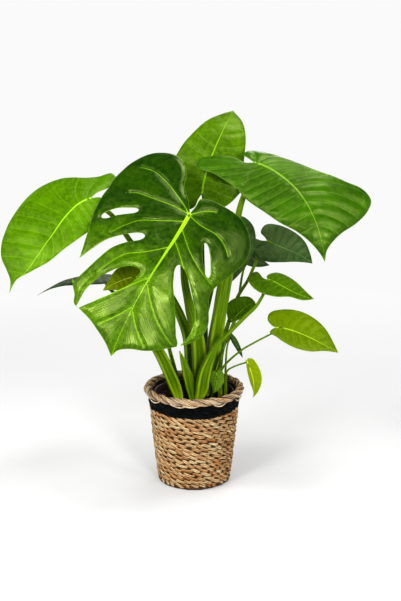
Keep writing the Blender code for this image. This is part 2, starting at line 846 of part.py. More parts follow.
def stalk_path(leaf):
    """Centre line of a stalk from the soil to the underside of its blade."""
    size = MM * PLANT_SIZE
    surface = BladeSurface(leaf)
    inset = np.array((leaf.notch + 2.5) * size)
    across = np.array(0.0)
    top = surface.at(inset, across)
    down = -surface.normal(inset, across)
    joint = top + down * (BLADE_THICKNESS / 2 + JOINT_GAP)
    below = top + down * leaf.reach * size
    foot = np.array((*leaf.foot, 0.0)) * size + (0.0, 0.0, SOIL_TOP + GAP)
    rise = foot + (0.0, 0.0, 8 * MM)
    via = [np.array(p) * size + (0.0, 0.0, SOIL_TOP) for p in leaf.via]
    low = [held_in_mouth(p, leaf.stalk) for p in (foot, rise, *via)]
    return smooth_through([*low, below, joint], STALK_STEPS)


def stalk(leaf):
    """The stalk of a leaf, thickest at its foot."""
    path = stalk_path(leaf)
    steps = np.linalg.norm(np.diff(path, axis=0), axis=1)
    share = np.concatenate([[0.0], np.cumsum(steps)]) / steps.sum()
    stations, sizes = zip(*leaf.stalk)
    radii = np.interp(share, stations, sizes) * MM * PLANT_SIZE
    radii[-1] = STALK_NOSE
    swept(f"stalk_{leaf.name}", path, radii, STALK_GREEN)


def bare_stem(stem):
    """A stem that carries no blade."""
    size = MM * PLANT_SIZE
    foot = np.array((*stem.foot, 0.0)) * size + (0.0, 0.0, SOIL_TOP + GAP)
    rise = foot + (0.0, 0.0, 6 * MM)
    via = [np.array(p) * size + (0.0, 0.0, SOIL_TOP) for p in stem.via]
    path = smooth_through([held_in_mouth(p, stem.radii) for p in (foot, rise, *via)], STALK_STEPS)
    shares = np.linspace(0.0, 1.0, len(path))
    radii = np.interp(shares, *zip(*stem.radii)) * size
    swept(stem.name, path, radii, stem.finish)


def main():
    """Build the whole plant."""
    clear_scene()
    basket()
    nursery_pot()
    soil()
    for leaf in LEAVES:
        blade(leaf)
        stalk(leaf)
    for stem in STEMS:
        bare_stem(stem)


main()
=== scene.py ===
"""Looks of the potted monstera: veined blades, sheathed stalks, soil and a twined basket."""

from __future__ import annotations

import json
import logging
import math
from dataclasses import dataclass, field
from enum import Enum, IntEnum
from functools import cache
from typing import Any, Iterable

import bpy
import numpy as np
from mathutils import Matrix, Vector, noise
from mathutils.geometry import delaunay_2d_cdt

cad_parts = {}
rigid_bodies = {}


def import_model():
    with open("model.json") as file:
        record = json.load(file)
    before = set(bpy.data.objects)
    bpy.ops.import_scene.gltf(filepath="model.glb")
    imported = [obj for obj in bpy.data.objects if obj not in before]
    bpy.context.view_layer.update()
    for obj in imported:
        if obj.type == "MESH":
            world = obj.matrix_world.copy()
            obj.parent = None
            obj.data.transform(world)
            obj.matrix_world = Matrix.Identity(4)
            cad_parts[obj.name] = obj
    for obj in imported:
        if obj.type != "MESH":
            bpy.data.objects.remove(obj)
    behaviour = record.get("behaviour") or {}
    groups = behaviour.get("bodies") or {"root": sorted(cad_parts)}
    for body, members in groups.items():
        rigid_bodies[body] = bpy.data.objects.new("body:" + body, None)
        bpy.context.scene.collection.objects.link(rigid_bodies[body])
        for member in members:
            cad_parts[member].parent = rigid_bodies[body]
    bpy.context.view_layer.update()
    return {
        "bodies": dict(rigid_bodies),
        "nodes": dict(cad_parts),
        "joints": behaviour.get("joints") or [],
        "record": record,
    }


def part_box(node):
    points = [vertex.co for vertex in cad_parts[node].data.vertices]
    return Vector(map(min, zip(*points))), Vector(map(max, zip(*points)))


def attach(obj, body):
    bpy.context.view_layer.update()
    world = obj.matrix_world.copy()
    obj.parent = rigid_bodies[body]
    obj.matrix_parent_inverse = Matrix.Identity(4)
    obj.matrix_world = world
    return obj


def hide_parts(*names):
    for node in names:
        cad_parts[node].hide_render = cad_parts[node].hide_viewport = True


LOG = logging.getLogger("monstera")
MM = 0.001

UPWARD = np.array((0.0, 0.0, 1.0))

Points = np.ndarray
Colour = tuple[float, float, float]
Socketed = Any
Piece = bpy.types.Object
Material = bpy.types.Material
Socket = bpy.types.NodeSocket


# ---------------------------------------------------------------- geometry helpers


def unit(vectors: Points) -> Points:
    """Scale vectors to length one."""
    return vectors / np.maximum(np.linalg.norm(vectors, axis=-1, keepdims=True), 1e-12)


def smoothstep(values: Points, low: float, high: float) -> Points:
    """Ramp from 0 at low to 1 at high, with soft ends."""
    share = np.clip((values - low) / (high - low), 0.0, 1.0)
    return share * share * (3.0 - 2.0 * share)


def smooth_through(points: Iterable[Iterable[float]], steps: int) -> Points:
    """Draw a centripetal Catmull-Rom curve.

    Args:
        points: The places that the curve passes, its two ends included.
        steps: Pieces between two neighbouring places.

    Returns:
        The points of the curve, one a row.
    """
    given = np.asarray(list(points), float)
    given = np.vstack([2 * given[0] - given[1], given, 2 * given[-1] - given[-2]])
    gaps = np.sqrt(np.linalg.norm(np.diff(given, axis=0), axis=1))
    curve = []
    for k in range(1, len(given) - 2):
        p0, p1, p2, p3 = given[k - 1 : k + 3]
        g0, g1, g2 = gaps[k - 1], gaps[k], gaps[k + 1]
        at = (np.arange(steps) / steps * g1)[:, None]
        a1 = p0 + (p1 - p0) * (at + g0) / g0
        a2 = p1 + (p2 - p1) * at / g1
        a3 = p2 + (p3 - p2) * (at - g1) / g2
        b1 = a1 + (a2 - a1) * (at + g0) / (g0 + g1)
        b2 = a2 + (a3 - a2) * at / (g1 + g2)
        curve.append(b1 + (b2 - b1) * at / g1)
    curve.append(given[-2][None])
    return np.vstack(curve)


def arc_lengths(path: Points) -> Points:
    """Distance travelled along a path at each of its points."""
    steps = np.linalg.norm(np.diff(path, axis=0), axis=1)
    return np.concatenate([[0.0], np.cumsum(steps)])


def resampled(path: Points, spacing: float) -> Points:
    """Walk a path again in equal steps of about the spacing."""
    reach = arc_lengths(path)
    count = max(2, int(math.ceil(reach[-1] / spacing)) + 1)
    at = np.linspace(0.0, reach[-1], count)
    return np.stack([np.interp(at, reach, path[:, k]) for k in range(path.shape[1])], axis=1)


def inside(points: Points, loop: Points) -> Points:
    """Tell which flat points lie inside a closed loop."""
    x, y = points[:, 0][:, None], points[:, 1][:, None]
    x0, y0 = loop[:, 0], loop[:, 1]
    x1, y1 = np.roll(x0, -1), np.roll(y0, -1)
    rise = np.where(y1 == y0, 1.0, y1 - y0)
    hits = ((y0 > y) != (y1 > y)) & (x < (x1 - x0) * (y - y0) / rise + x0)
    return hits.sum(axis=1) % 2 == 1


def distance_to_path(points: Points, path: Points) -> Points:
    """Distance from flat points to a polyline."""
    start, step = path[:-1], np.diff(path, axis=0)
    span = np.maximum((step**2).sum(axis=1), 1e-16)
    nearest = np.full(len(points), np.inf)
    for first in range(0, len(points), 2000):
        part = points[first : first + 2000, None, :] - start[None]
        share = np.clip((part * step[None]).sum(axis=2) / span, 0.0, 1.0)
        away = np.linalg.norm(part - share[..., None] * step[None], axis=2)
        nearest[first : first + 2000] = away.min(axis=1)
    return nearest


def noise_at(points: Points, scale: float, seed: float) -> Points:
    """Smooth noise from -1 to 1 at points, with features of about 1/scale metres."""
    shift = Vector((seed * 7.13, seed * 3.71, seed * 1.37))
    return np.array([noise.noise(Vector(p) * scale + shift) for p in points])


def circle(count: int) -> Points:
    """Angles of a closed ring."""
    return np.linspace(0.0, 2 * math.pi, count, endpoint=False)


def outwards(angle: Points) -> Points:
    """Level directions away from the upright axis."""
    return np.stack([np.cos(angle), np.sin(angle), np.zeros(len(angle))], axis=1)


def placed(outward: Points, out: Points | float, up: Points | float) -> Points:
    """Places at distances from the upright axis and at heights."""
    return outward * np.atleast_1d(out)[:, None] + UPWARD * np.atleast_1d(up)[:, None]


def half_width(box: tuple) -> float:
    """Half of a box's width."""
    return (box[1][0] - box[0][0]) / 2


@dataclass
class Shape:
    """Points, faces and point values that become one piece."""

    points: list[Points] = field(default_factory=list)
    faces: list[tuple[int, ...]] = field(default_factory=list)
    values: dict[str, list[Points]] = field(default_factory=dict)
    count: int = 0

    def add(self, points: Points, faces: Iterable[Iterable[int]], **values: Points) -> None:
        """Add a patch of mesh.

        Args:
            points: Places, one a row.
            faces: Corner numbers within the patch.
            values: Point values by name, the same names in every patch.
        """
        self.points.append(np.asarray(points, float))
        self.faces += [tuple(int(k) + self.count for k in face) for face in faces]
        for name, given in values.items():
            filled = np.broadcast_to(np.asarray(given, float), (len(points),))
            self.values.setdefault(name, []).append(filled)
        self.count += len(points)

    def build(self, name: str, material: Material) -> Piece:
        """Turn the shape into a smooth object with one material."""
        mesh = bpy.data.meshes.new(name)
        mesh.from_pydata(np.vstack(self.points).tolist(), [], self.faces)
        for label, parts in self.values.items():
            layer = mesh.attributes.new(label, "FLOAT", "POINT")
            layer.data.foreach_set("value", np.concatenate(parts).astype(np.float32))
        mesh.shade_smooth()
        mesh.materials.append(material)
        piece = bpy.data.objects.new(name, mesh)
        bpy.context.scene.collection.objects.link(piece)
        return piece


def tube_frame(path: Points, first_side: Points) -> tuple[Points, Points]:
    """Two directions square to an open path at each point, turned as little as possible."""
    tangent = unit(np.gradient(path, axis=0))
    side = np.asarray(first_side, float)
    sides = []
    for forward in tangent:
        side = unit(side - forward * np.dot(side, forward))
        sides.append(side)
    sides = np.array(sides)
    return sides, np.cross(tangent, sides)


def tube_points(path: Points, frame: tuple[Points, Points], offsets: tuple[Points, Points]) -> Points:
    """Rings of points round a path.

    Args:
        path: The centre line.
        frame: The two directions square to the path at each point.
        offsets: For each direction a row of offsets at each point.

    Returns:
        The points, ring after ring.
    """
    points = path[:, None, :]
    for direction, offset in zip(frame, offsets):
        points = points + offset[..., None] * direction[:, None, :]
    return points.reshape(-1, 3)


def ring_faces(rings: int, sides: int, closed: bool) -> list[tuple[int, ...]]:
    """Faces of a tube of rings, with caps where it isn't closed on itself."""
    faces: list[tuple[int, ...]] = []
    for ring in range(rings if closed else rings - 1):
        here, there = ring * sides, (ring + 1) % rings * sides
        for k in range(sides):
            after = (k + 1) % sides
            faces.append((here + k, here + after, there + after, there + k))
    if not closed:
        faces.append(tuple(reversed(range(sides))))
        faces.append(tuple(range((rings - 1) * sides, rings * sides)))
    return faces


def skirt(first: int, second: int, count: int) -> list[tuple[int, ...]]:
    """Faces between two rings, given the number of each ring's first point."""
    faces = []
    for k in range(count):
        after = (k + 1) % count
        faces.append((first + k, second + k, second + after, first + after))
    return faces


# ---------------------------------------------------------------- shader helpers


class Signal:
    """A number that changes over a surface; arithmetic on it adds Math nodes."""

    def __init__(self, sheet: NodeSheet, socket: Socket) -> None:
        """Wrap an output socket."""
        self.sheet = sheet
        self.socket = socket

    def math(self, operation: str, *others: Signal | float) -> Signal:
        """Join this value and others in one Math node."""
        sockets = dict(enumerate((self, *others)))
        node = self.sheet.add("ShaderNodeMath", {"operation": operation}, sockets)
        return Signal(self.sheet, node.outputs[0])

    def __add__(self, other: Signal | float) -> Signal:
        """Sum."""
        return self.math("ADD", other)

    def __radd__(self, other: float) -> Signal:
        """Sum, reflected."""
        return self.math("ADD", other)

    def __sub__(self, other: Signal | float) -> Signal:
        """Difference."""
        return self.math("SUBTRACT", other)

    def __rsub__(self, other: float) -> Signal:
        """Difference, reflected."""
        return (self * -1.0) + other

    def __mul__(self, other: Signal | float) -> Signal:
        """Product."""
        return self.math("MULTIPLY", other)

    def ramp(self, low: float, high: float, start: float = 0.0, end: float = 1.0) -> Signal:
        """Map low..high to start..end with soft ends."""
        settings = {"interpolation_type": "SMOOTHSTEP"}
        sockets = {0: self, 1: low, 2: high, 3: start, 4: end}
        return Signal(self.sheet, self.sheet.add("ShaderNodeMapRange", settings, sockets).outputs[0])

    def sine(self) -> Signal:
        """Sine of the value."""
        return self.math("SINE")

    def clamped(self) -> Signal:
        """The value held between 0 and 1."""
        return self.math("MAXIMUM", 0.0).math("MINIMUM", 1.0)


class NodeSheet:
    """The node tree of one material, or of the world."""

    def __init__(self, name: str, shelf: str = "materials") -> None:
        """Make the owner of the nodes and find its shader.

        Args:
            name: The owner's name.
            shelf: Where the owner is kept, such as materials or worlds.
        """
        self.owner = getattr(bpy.data, shelf).new(name)
        self.owner.use_nodes = True
        self.tree = self.owner.node_tree
        self.shader = next(node for node in self.tree.nodes if not node.type.startswith("OUTPUT"))

    def add(
        self,
        kind: str,
        settings: dict[str, Any] | None = None,
        sockets: dict[Any, Socketed] | None = None,
    ) -> bpy.types.Node:
        """Add a node.

        Args:
            kind: The node's type.
            settings: Its own properties, set first; "stops" fills a colour ramp.
            sockets: A value, link or Signal for each named or numbered input.

        Returns:
            The node.
        """
        node = self.tree.nodes.new(kind)
        for key, value in (settings or {}).items():
            if key == "stops":
                self.fill_ramp(node, value)
            else:
                setattr(node, key, value)
        for key, value in (sockets or {}).items():
            self.feed(node.inputs[key], value)
        return node

    @staticmethod
    def fill_ramp(node: bpy.types.Node, stops: list[tuple[float, Colour]]) -> None:
        """Give a colour ramp its stops."""
        elements = node.color_ramp.elements
        while len(elements) < len(stops):
            elements.new(0.5)
        for element, (place, colour) in zip(elements, stops):
            element.position = place
            element.color = (*colour, 1.0)

    def feed(self, socket: Socket, value: Socketed) -> None:
        """Link or set one input."""
        if isinstance(value, Signal):
            self.tree.links.new(value.socket, socket)
        elif isinstance(value, Socket):
            self.tree.links.new(value, socket)
        elif isinstance(value, tuple) and len(value) == 3 and socket.type == "RGBA":
            socket.default_value = (*value, 1.0)
        else:
            socket.default_value = value

    def attribute(self, name: str) -> Signal:
        """A point value of the mesh."""
        node = self.add("ShaderNodeAttribute", {"attribute_name": name})
        return Signal(self, node.outputs["Fac"])

    def attributes(self, names: str) -> list[Signal]:
        """The point values whose names are given with spaces between them."""
        return [self.attribute(name) for name in names.split()]

    def vector(self, x: Socketed, y: Socketed, z: Socketed = 0.0) -> Socket:
        """Three values as a vector."""
        return self.add("ShaderNodeCombineXYZ", None, {0: x, 1: y, 2: z}).outputs[0]

    def place(self, kind: str = "Object") -> Socket:
        """The object's own coordinates in metres, or those of another kind."""
        return self.add("ShaderNodeTexCoord").outputs[kind]

    def height(self, vector: Socketed) -> Signal:
        """The upright part of a vector."""
        return Signal(self, self.add("ShaderNodeSeparateXYZ", None, {0: vector}).outputs[2])

    def noise(self, vector: Socketed, scale: float, detail: float = 2.0, rough: float = 0.5) -> Signal:
        """Soft noise from about 0.25 to 0.75."""
        sockets = {"Vector": vector, "Scale": scale, "Detail": detail, "Roughness": rough}
        return Signal(self, self.add("ShaderNodeTexNoise", None, sockets).outputs["Fac"])

    def cells(self, vector: Socketed, scale: float) -> Signal:
        """Distance to the nearest of scattered spots."""
        sockets = {"Vector": vector, "Scale": scale}
        return Signal(self, self.add("ShaderNodeTexVoronoi", None, sockets).outputs["Distance"])

    def mix(self, share: Signal | float, first: Socketed, second: Socketed) -> Socket:
        """First colour where the share is 0, second where it is 1."""
        settings = {"data_type": "RGBA"}
        node = self.add("ShaderNodeMix", settings, {0: share, 6: first, 7: second})
        return node.outputs[2]

    def ramp_colour(self, value: Signal, stops: list[tuple[float, Colour]]) -> Socket:
        """Colours picked from stops by a value."""
        return self.add("ShaderNodeValToRGB", {"stops": stops}, {0: value}).outputs[0]

    def bump(self, height: Signal, distance: float, strength: float = 1.0) -> Socket:
        """A normal from a height, with the distance in metres."""
        sockets = {"Height": height, "Distance": distance, "Strength": strength}
        return self.add("ShaderNodeBump", None, sockets).outputs[0]

    def dress(self, **sockets: Socketed) -> Any:
        """Feed the shader and give back its owner; underscores in names stand for spaces."""
        for name, value in sockets.items():
            self.feed(self.shader.inputs[name.replace("_", " ")], value)
        return self.owner


# ---------------------------------------------------------------- finishes


GREEN_SHINE: Colour = (0.90, 1.0, 0.40)


@dataclass(frozen=True)
class LeafFinish:
    """A living leaf: blotched green, pale veins, a waxy shine."""

    name: str
    deep: Colour
    body: Colour
    light: Colour
    vein: Colour
    rib: Colour
    roughness: float = 0.28
    stripes: float = 0.12
    vein_show: float = 0.5
    painted_shade: float = 0.0
    shine: float = 0.22
    relief: float = 0.3 * MM

    def material(self) -> Material:
        """Build the leaf's node material."""
        sheet = NodeSheet(self.name)
        names = "along across between vein rib edge under"
        along, across, between, vein, rib, edge, under = sheet.attributes(names)
        flat = sheet.vector(along, across)
        clouds = sheet.noise(flat, 16.0, 3.0, 0.55).ramp(0.38, 0.60)
        mottle = sheet.noise(flat, 130.0, 3.0, 0.6).ramp(0.3, 0.72)
        streaks = ((between * 37.0).sine() * 0.5 + 0.5) * self.stripes
        # Painted shade: the blade is drawn darker near the joint, and its paler patches fade out there.
        painted_shade = (1.0 - along.ramp(0.0, 0.17)) * self.painted_shade
        tone = sheet.mix((clouds * 0.7 + painted_shade).clamped(), self.body, self.deep)
        patches = (mottle * 0.30 + streaks * 0.5) * (1.0 - painted_shade)
        tone = sheet.mix(patches.clamped(), tone, self.light)
        halo = 1.0 - vein.ramp(0.5, 6.0)
        tone = sheet.mix(halo * (self.vein_show * 0.25), tone, self.light)
        margin = 1.0 - edge.ramp(0.0, 0.0016)
        tone = sheet.mix(margin * 0.5, tone, self.vein)
        line = 1.0 - vein.ramp(0.45, 1.25)
        tone = sheet.mix(line * self.vein_show, tone, self.vein)
        spine = 1.0 - rib.ramp(0.7, 1.15)
        cleft = (1.0 - rib.ramp(0.05, 0.35)) * 0.45
        duller = (cleft + along.ramp(0.0, 0.14) * 0.55).clamped()
        tone = sheet.mix(spine, tone, sheet.mix(duller, self.rib, self.light))
        paler = sheet.mix(0.45, tone, self.light)
        tone = sheet.mix(under, tone, paler)
        skin = sheet.noise(flat, 420.0, 2.0, 0.6)
        pores = sheet.cells(flat, 900.0)
        height = skin * 0.5 + pores * 0.25 + (between * 75.0).sine() * (0.12 + self.stripes * 0.5)
        height = height + (1.0 - vein.ramp(0.0, 2.2)) * -1.0
        rough = clouds * 0.08 + mottle * 0.06 + under * 0.16 + self.roughness
        return sheet.dress(
            Base_Color=tone,
            Roughness=rough,
            Normal=sheet.bump(height, self.relief, 0.5),
            Specular_IOR_Level=self.shine,
            Specular_Tint=GREEN_SHINE,
        )


@dataclass(frozen=True)
class StalkFinish:
    """A fleshy stalk: streaked green with paler edges."""

    name: str
    body: Colour
    deep: Colour
    light: Colour
    roughness: float = 0.36
    shine: float = 0.28
    relief: float = 0.6 * MM

    def material(self) -> Material:
        """Build the stalk's node material."""
        sheet = NodeSheet(self.name)
        along, turn, wing, foot = sheet.attributes("along turn wing foot")
        streaks = sheet.noise(sheet.vector(turn * 9.0, along * 6.0), 1.0, 4.0, 0.65).ramp(0.3, 0.7)
        fine = sheet.noise(sheet.vector(turn * 40.0, along * 22.0), 1.0, 2.0, 0.6)
        tone = sheet.mix(streaks, self.deep, self.body)
        tone = sheet.mix(wing.ramp(0.35, 1.0) * 0.35, tone, self.light)
        tone = sheet.mix(foot * 0.5, tone, self.light)
        flecks = sheet.cells(sheet.vector(turn * 8.0, along * 160.0), 1.0).ramp(0.06, 0.16)
        tone = sheet.mix((1.0 - flecks) * 0.25, tone, self.light)
        height = fine * 0.8 + streaks * 0.5
        return sheet.dress(
            Base_Color=tone,
            Roughness=fine * 0.12 + self.roughness,
            Normal=sheet.bump(height, self.relief, 0.5),
            Specular_IOR_Level=self.shine,
            Specular_Tint=GREEN_SHINE,
        )


@dataclass(frozen=True)
class StrawFinish:
    """Twisted dry straw, each strand with its own colour; shade under each strand and deep in the weave,
    and a highlight on top, are painted.
    """

    name: str
    dark: Colour
    mid: Colour
    pale: Colour
    red: Colour
    roughness: float = 0.62
    shine: float = 0.2
    relief: float = 0.8 * MM

    def material(self) -> Material:
        """Build the straw's node material."""
        sheet = NodeSheet(self.name)
        along, turn, strand, sunk, chance = sheet.attributes("along turn strand sunk chance")
        drift = sheet.noise(sheet.vector(along * 60.0, strand * 37.0), 1.0, 2.0, 0.6)
        fibre = sheet.noise(sheet.vector(along * 60.0, turn * 26.0, strand * 13.0), 1.0, 3.0, 0.7)
        stops = [(0.0, self.dark), (0.24, self.mid), (0.70, self.pale)]
        tone = sheet.ramp_colour(chance * 0.36 + drift * 0.85 - 0.12, stops)
        tone = sheet.mix((chance * 7.13).math("FRACT").ramp(0.66, 0.9) * 0.28, tone, self.red)
        # Painted shade on the lower side of each strand and a painted highlight on its upper side.
        below = (turn * 3.1416).sine()
        tone = sheet.mix(below.ramp(0.1, 0.9) * 0.75, tone, self.dark)
        tone = sheet.mix((below * -1.0).ramp(0.0, 0.6) * 0.4, tone, self.pale)
        tone = sheet.mix((1.0 - fibre.ramp(0.34, 0.54)) * 0.6, tone, self.dark)
        # Painted shade where the strand lies deep in the weave and on its flanks.
        tone = sheet.mix(sunk * 0.92, tone, self.dark)
        height = fibre + (turn * 25.0).sine() * 0.25
        return sheet.dress(
            Base_Color=tone,
            Roughness=fibre * 0.2 + self.roughness,
            Normal=sheet.bump(height, self.relief, 0.8),
            Specular_IOR_Level=self.shine,
        )


@dataclass(frozen=True)
class SoilFinish:
    """Dark damp potting soil with bits of bark."""

    name: str
    dark: Colour
    brown: Colour
    bark: Colour
    roughness: float = 0.82
    relief: float = 3.0 * MM

    def material(self) -> Material:
        """Build the soil's node material."""
        sheet = NodeSheet(self.name)
        place = sheet.place()
        crumb = sheet.noise(place, 260.0, 4.0, 0.7)
        bit = sheet.attribute("bit")
        tone = sheet.mix(crumb.ramp(0.4, 0.7), self.dark, self.brown)
        tone = sheet.mix(bit, tone, self.bark)
        return sheet.dress(
            Base_Color=tone,
            Roughness=crumb * 0.15 + self.roughness,
            Normal=sheet.bump(crumb, self.relief, 0.9),
        )


@dataclass(frozen=True)
class PlasticFinish:
    """Thin moulded plastic with a faint grain."""

    name: str
    colour: Colour
    worn: Colour
    roughness: float = 0.42
    relief: float = 0.2 * MM

    def material(self) -> Material:
        """Build the plastic's node material."""
        sheet = NodeSheet(self.name)
        place = sheet.place()
        grain = sheet.noise(place, 900.0, 2.0, 0.6)
        scuffs = sheet.noise(place, 60.0, 4.0, 0.7).ramp(0.52, 0.7)
        tone = sheet.mix(scuffs * 0.5, self.colour, self.worn)
        return sheet.dress(
            Base_Color=tone,
            Roughness=scuffs * 0.25 + self.roughness,
            Normal=sheet.bump(grain, self.relief, 0.6),
        )


class LeafTone(Enum):
    """The greens that the leaves come in."""

    GREEN = LeafFinish(
        "leaf_green",
        deep=(0.006, 0.034, 0.0003), body=(0.054, 0.122, 0.0005), light=(0.150, 0.290, 0.003),
        vein=(0.230, 0.440, 0.006), rib=(0.320, 0.550, 0.006),
        vein_show=0.7,
        painted_shade=0.75,
        shine=0.42,
        roughness=0.24,
        stripes=0.22,
    )
    BRIGHT = LeafFinish(
        "leaf_bright",
        deep=(0.036, 0.095, 0.0003), body=(0.076, 0.172, 0.0005), light=(0.165, 0.320, 0.003),
        vein=(0.220, 0.430, 0.020), rib=(0.300, 0.540, 0.030),
        stripes=0.18,
        vein_show=0.22,
    )
    PALE = LeafFinish(
        "leaf_pale",
        deep=(0.014, 0.050, 0.0008), body=(0.034, 0.104, 0.001), light=(0.090, 0.180, 0.008),
        vein=(0.180, 0.330, 0.040), rib=(0.200, 0.360, 0.030),
        stripes=0.18,
        vein_show=0.3,
        shine=0.36,
    )
    MID = LeafFinish(
        "leaf_mid",
        deep=(0.030, 0.075, 0.0006), body=(0.060, 0.128, 0.001), light=(0.170, 0.300, 0.010),
        vein=(0.220, 0.380, 0.030), rib=(0.240, 0.420, 0.020),
        vein_show=0.2,
    )
    YOUNG = LeafFinish(
        "leaf_young",
        deep=(0.075, 0.125, 0.0006), body=(0.118, 0.180, 0.001), light=(0.210, 0.300, 0.004),
        vein=(0.220, 0.330, 0.020), rib=(0.340, 0.520, 0.040),
        vein_show=0.22,
    )
    OLIVE = LeafFinish(
        "leaf_olive",
        deep=(0.110, 0.160, 0.0006), body=(0.170, 0.225, 0.001), light=(0.280, 0.350, 0.004),
        vein=(0.300, 0.380, 0.010), rib=(0.520, 0.620, 0.100),
        stripes=0.05,
        vein_show=0.12,
    )
    # Painted shade and sheen: a darkened leaf green for leaves in shadow, with a grey reflected sheen
    # painted into its colours.
    DARK = LeafFinish(
        "leaf_dark",
        deep=(0.010, 0.036, 0.006), body=(0.034, 0.080, 0.020), light=(0.110, 0.160, 0.070),
        vein=(0.070, 0.150, 0.040), rib=(0.120, 0.220, 0.070),
        roughness=0.38,
        vein_show=0.3,
    )
    # Painted sheen: the grey in this dark grey-green stands for reflected light on leaves that face up.
    GREY = LeafFinish(
        "leaf_grey",
        deep=(0.016, 0.036, 0.014), body=(0.034, 0.066, 0.028), light=(0.120, 0.165, 0.095),
        vein=(0.140, 0.190, 0.110), rib=(0.200, 0.260, 0.150),
        roughness=0.36,
        vein_show=0.4,
    )


STALK = StalkFinish("stalk_green", (0.170, 0.285, 0.002), (0.036, 0.082, 0.001), (0.470, 0.640, 0.004))
DARK_STEM = StalkFinish("stem_dark", (0.050, 0.100, 0.008), (0.018, 0.040, 0.004), (0.150, 0.210, 0.040))
STRAW = StrawFinish(
    "seagrass",
    dark=(0.018, 0.005, 0.003),
    mid=(0.620, 0.280, 0.083),
    pale=(0.930, 0.730, 0.430),
    red=(0.560, 0.180, 0.045),
)
RIM_STRAW = StrawFinish(
    "rim_seagrass",
    dark=(0.030, 0.011, 0.006),
    mid=(0.860, 0.490, 0.230),
    pale=(1.000, 0.880, 0.640),
    red=(0.700, 0.320, 0.140),
)
BLACK_STRAW = StrawFinish(
    "black_seagrass",
    dark=(0.0008, 0.001, 0.0014),
    mid=(0.0016, 0.0024, 0.003),
    pale=(0.005, 0.008, 0.010),
    red=(0.002, 0.003, 0.0035),
    roughness=0.5,
)
SOIL_FINISH = SoilFinish("soil", (0.004, 0.0025, 0.002), (0.018, 0.009, 0.005), (0.090, 0.028, 0.010))
POT_FINISH = PlasticFinish("terracotta_plastic", (0.026, 0.008, 0.004), (0.060, 0.020, 0.011))


# ---------------------------------------------------------------- leaves


@dataclass(frozen=True)
class Slit:
    """An opening in a blade.

    spine: points (along, across) in mm from its root to its mouth or far end.
    widths: its width in mm at equal steps along the spine.
    mouth: whether its far end opens through the blade's edge.
    """

    spine: tuple
    widths: tuple
    mouth: bool = False


@dataclass(frozen=True)
class LeafPlan:
    """Sizes of one leaf, in mm from the middle of the soil's top.

    rib: four Bezier handles of the midrib.
    face, face_tip: where the upper side looks at the joint and at the tip.
    low, high: outline points (along, across) of the two halves; high mirrors low if it isn't given.
    fold, curl: how far the halves rise (degrees) and bend (radians a metre).
    heel: how the lobes behind the joint bend (radians a metre).
    foot, via: the stalk's start and the points that it passes.
    stalk: pairs of a share of the stalk's length and the radius there.
    reach: how far behind the blade the stalk turns towards its joint.
    notch: where the two halves of the outline meet, on the midrib.
    slits: openings in the blade.
    veins: side veins as points (along, across), or veins_each of them a side by rule.
    cell: mesh size; quilt: how far the skin rises between veins; wave: how the blade waves.
    vein_width, rib_width, rib_fade: width of a vein and of the midrib, and how fast that thins.
    """

    name: str
    tone: LeafTone
    rib: tuple
    face: tuple
    low: tuple
    foot: tuple
    via: tuple
    stalk: tuple
    high: tuple = ()
    face_tip: tuple | None = None
    fold: tuple = (0.0, 0.0)
    curl: tuple = (-2.0, -2.0)
    heel: float = 0.0
    slits: tuple = ()
    veins: tuple = ()
    veins_each: int = 8
    reach: float = 14.0
    notch: float = 3.0
    cell: float = 3.2
    quilt: float = 1.3
    wave: float = 2.5
    vein_width: float = 1.1
    rib_width: float = 2.6
    rib_fade: float = 0.8


@dataclass(frozen=True)
class StemPlan:
    """Sizes of a stem without a blade, in mm from the middle of the soil's top.

    foot, via: its start and the points that it passes, the last its tip.
    radii: pairs of a share of its length and the radius there.
    """

    name: str
    foot: tuple
    via: tuple
    radii: tuple
    dark: bool = False


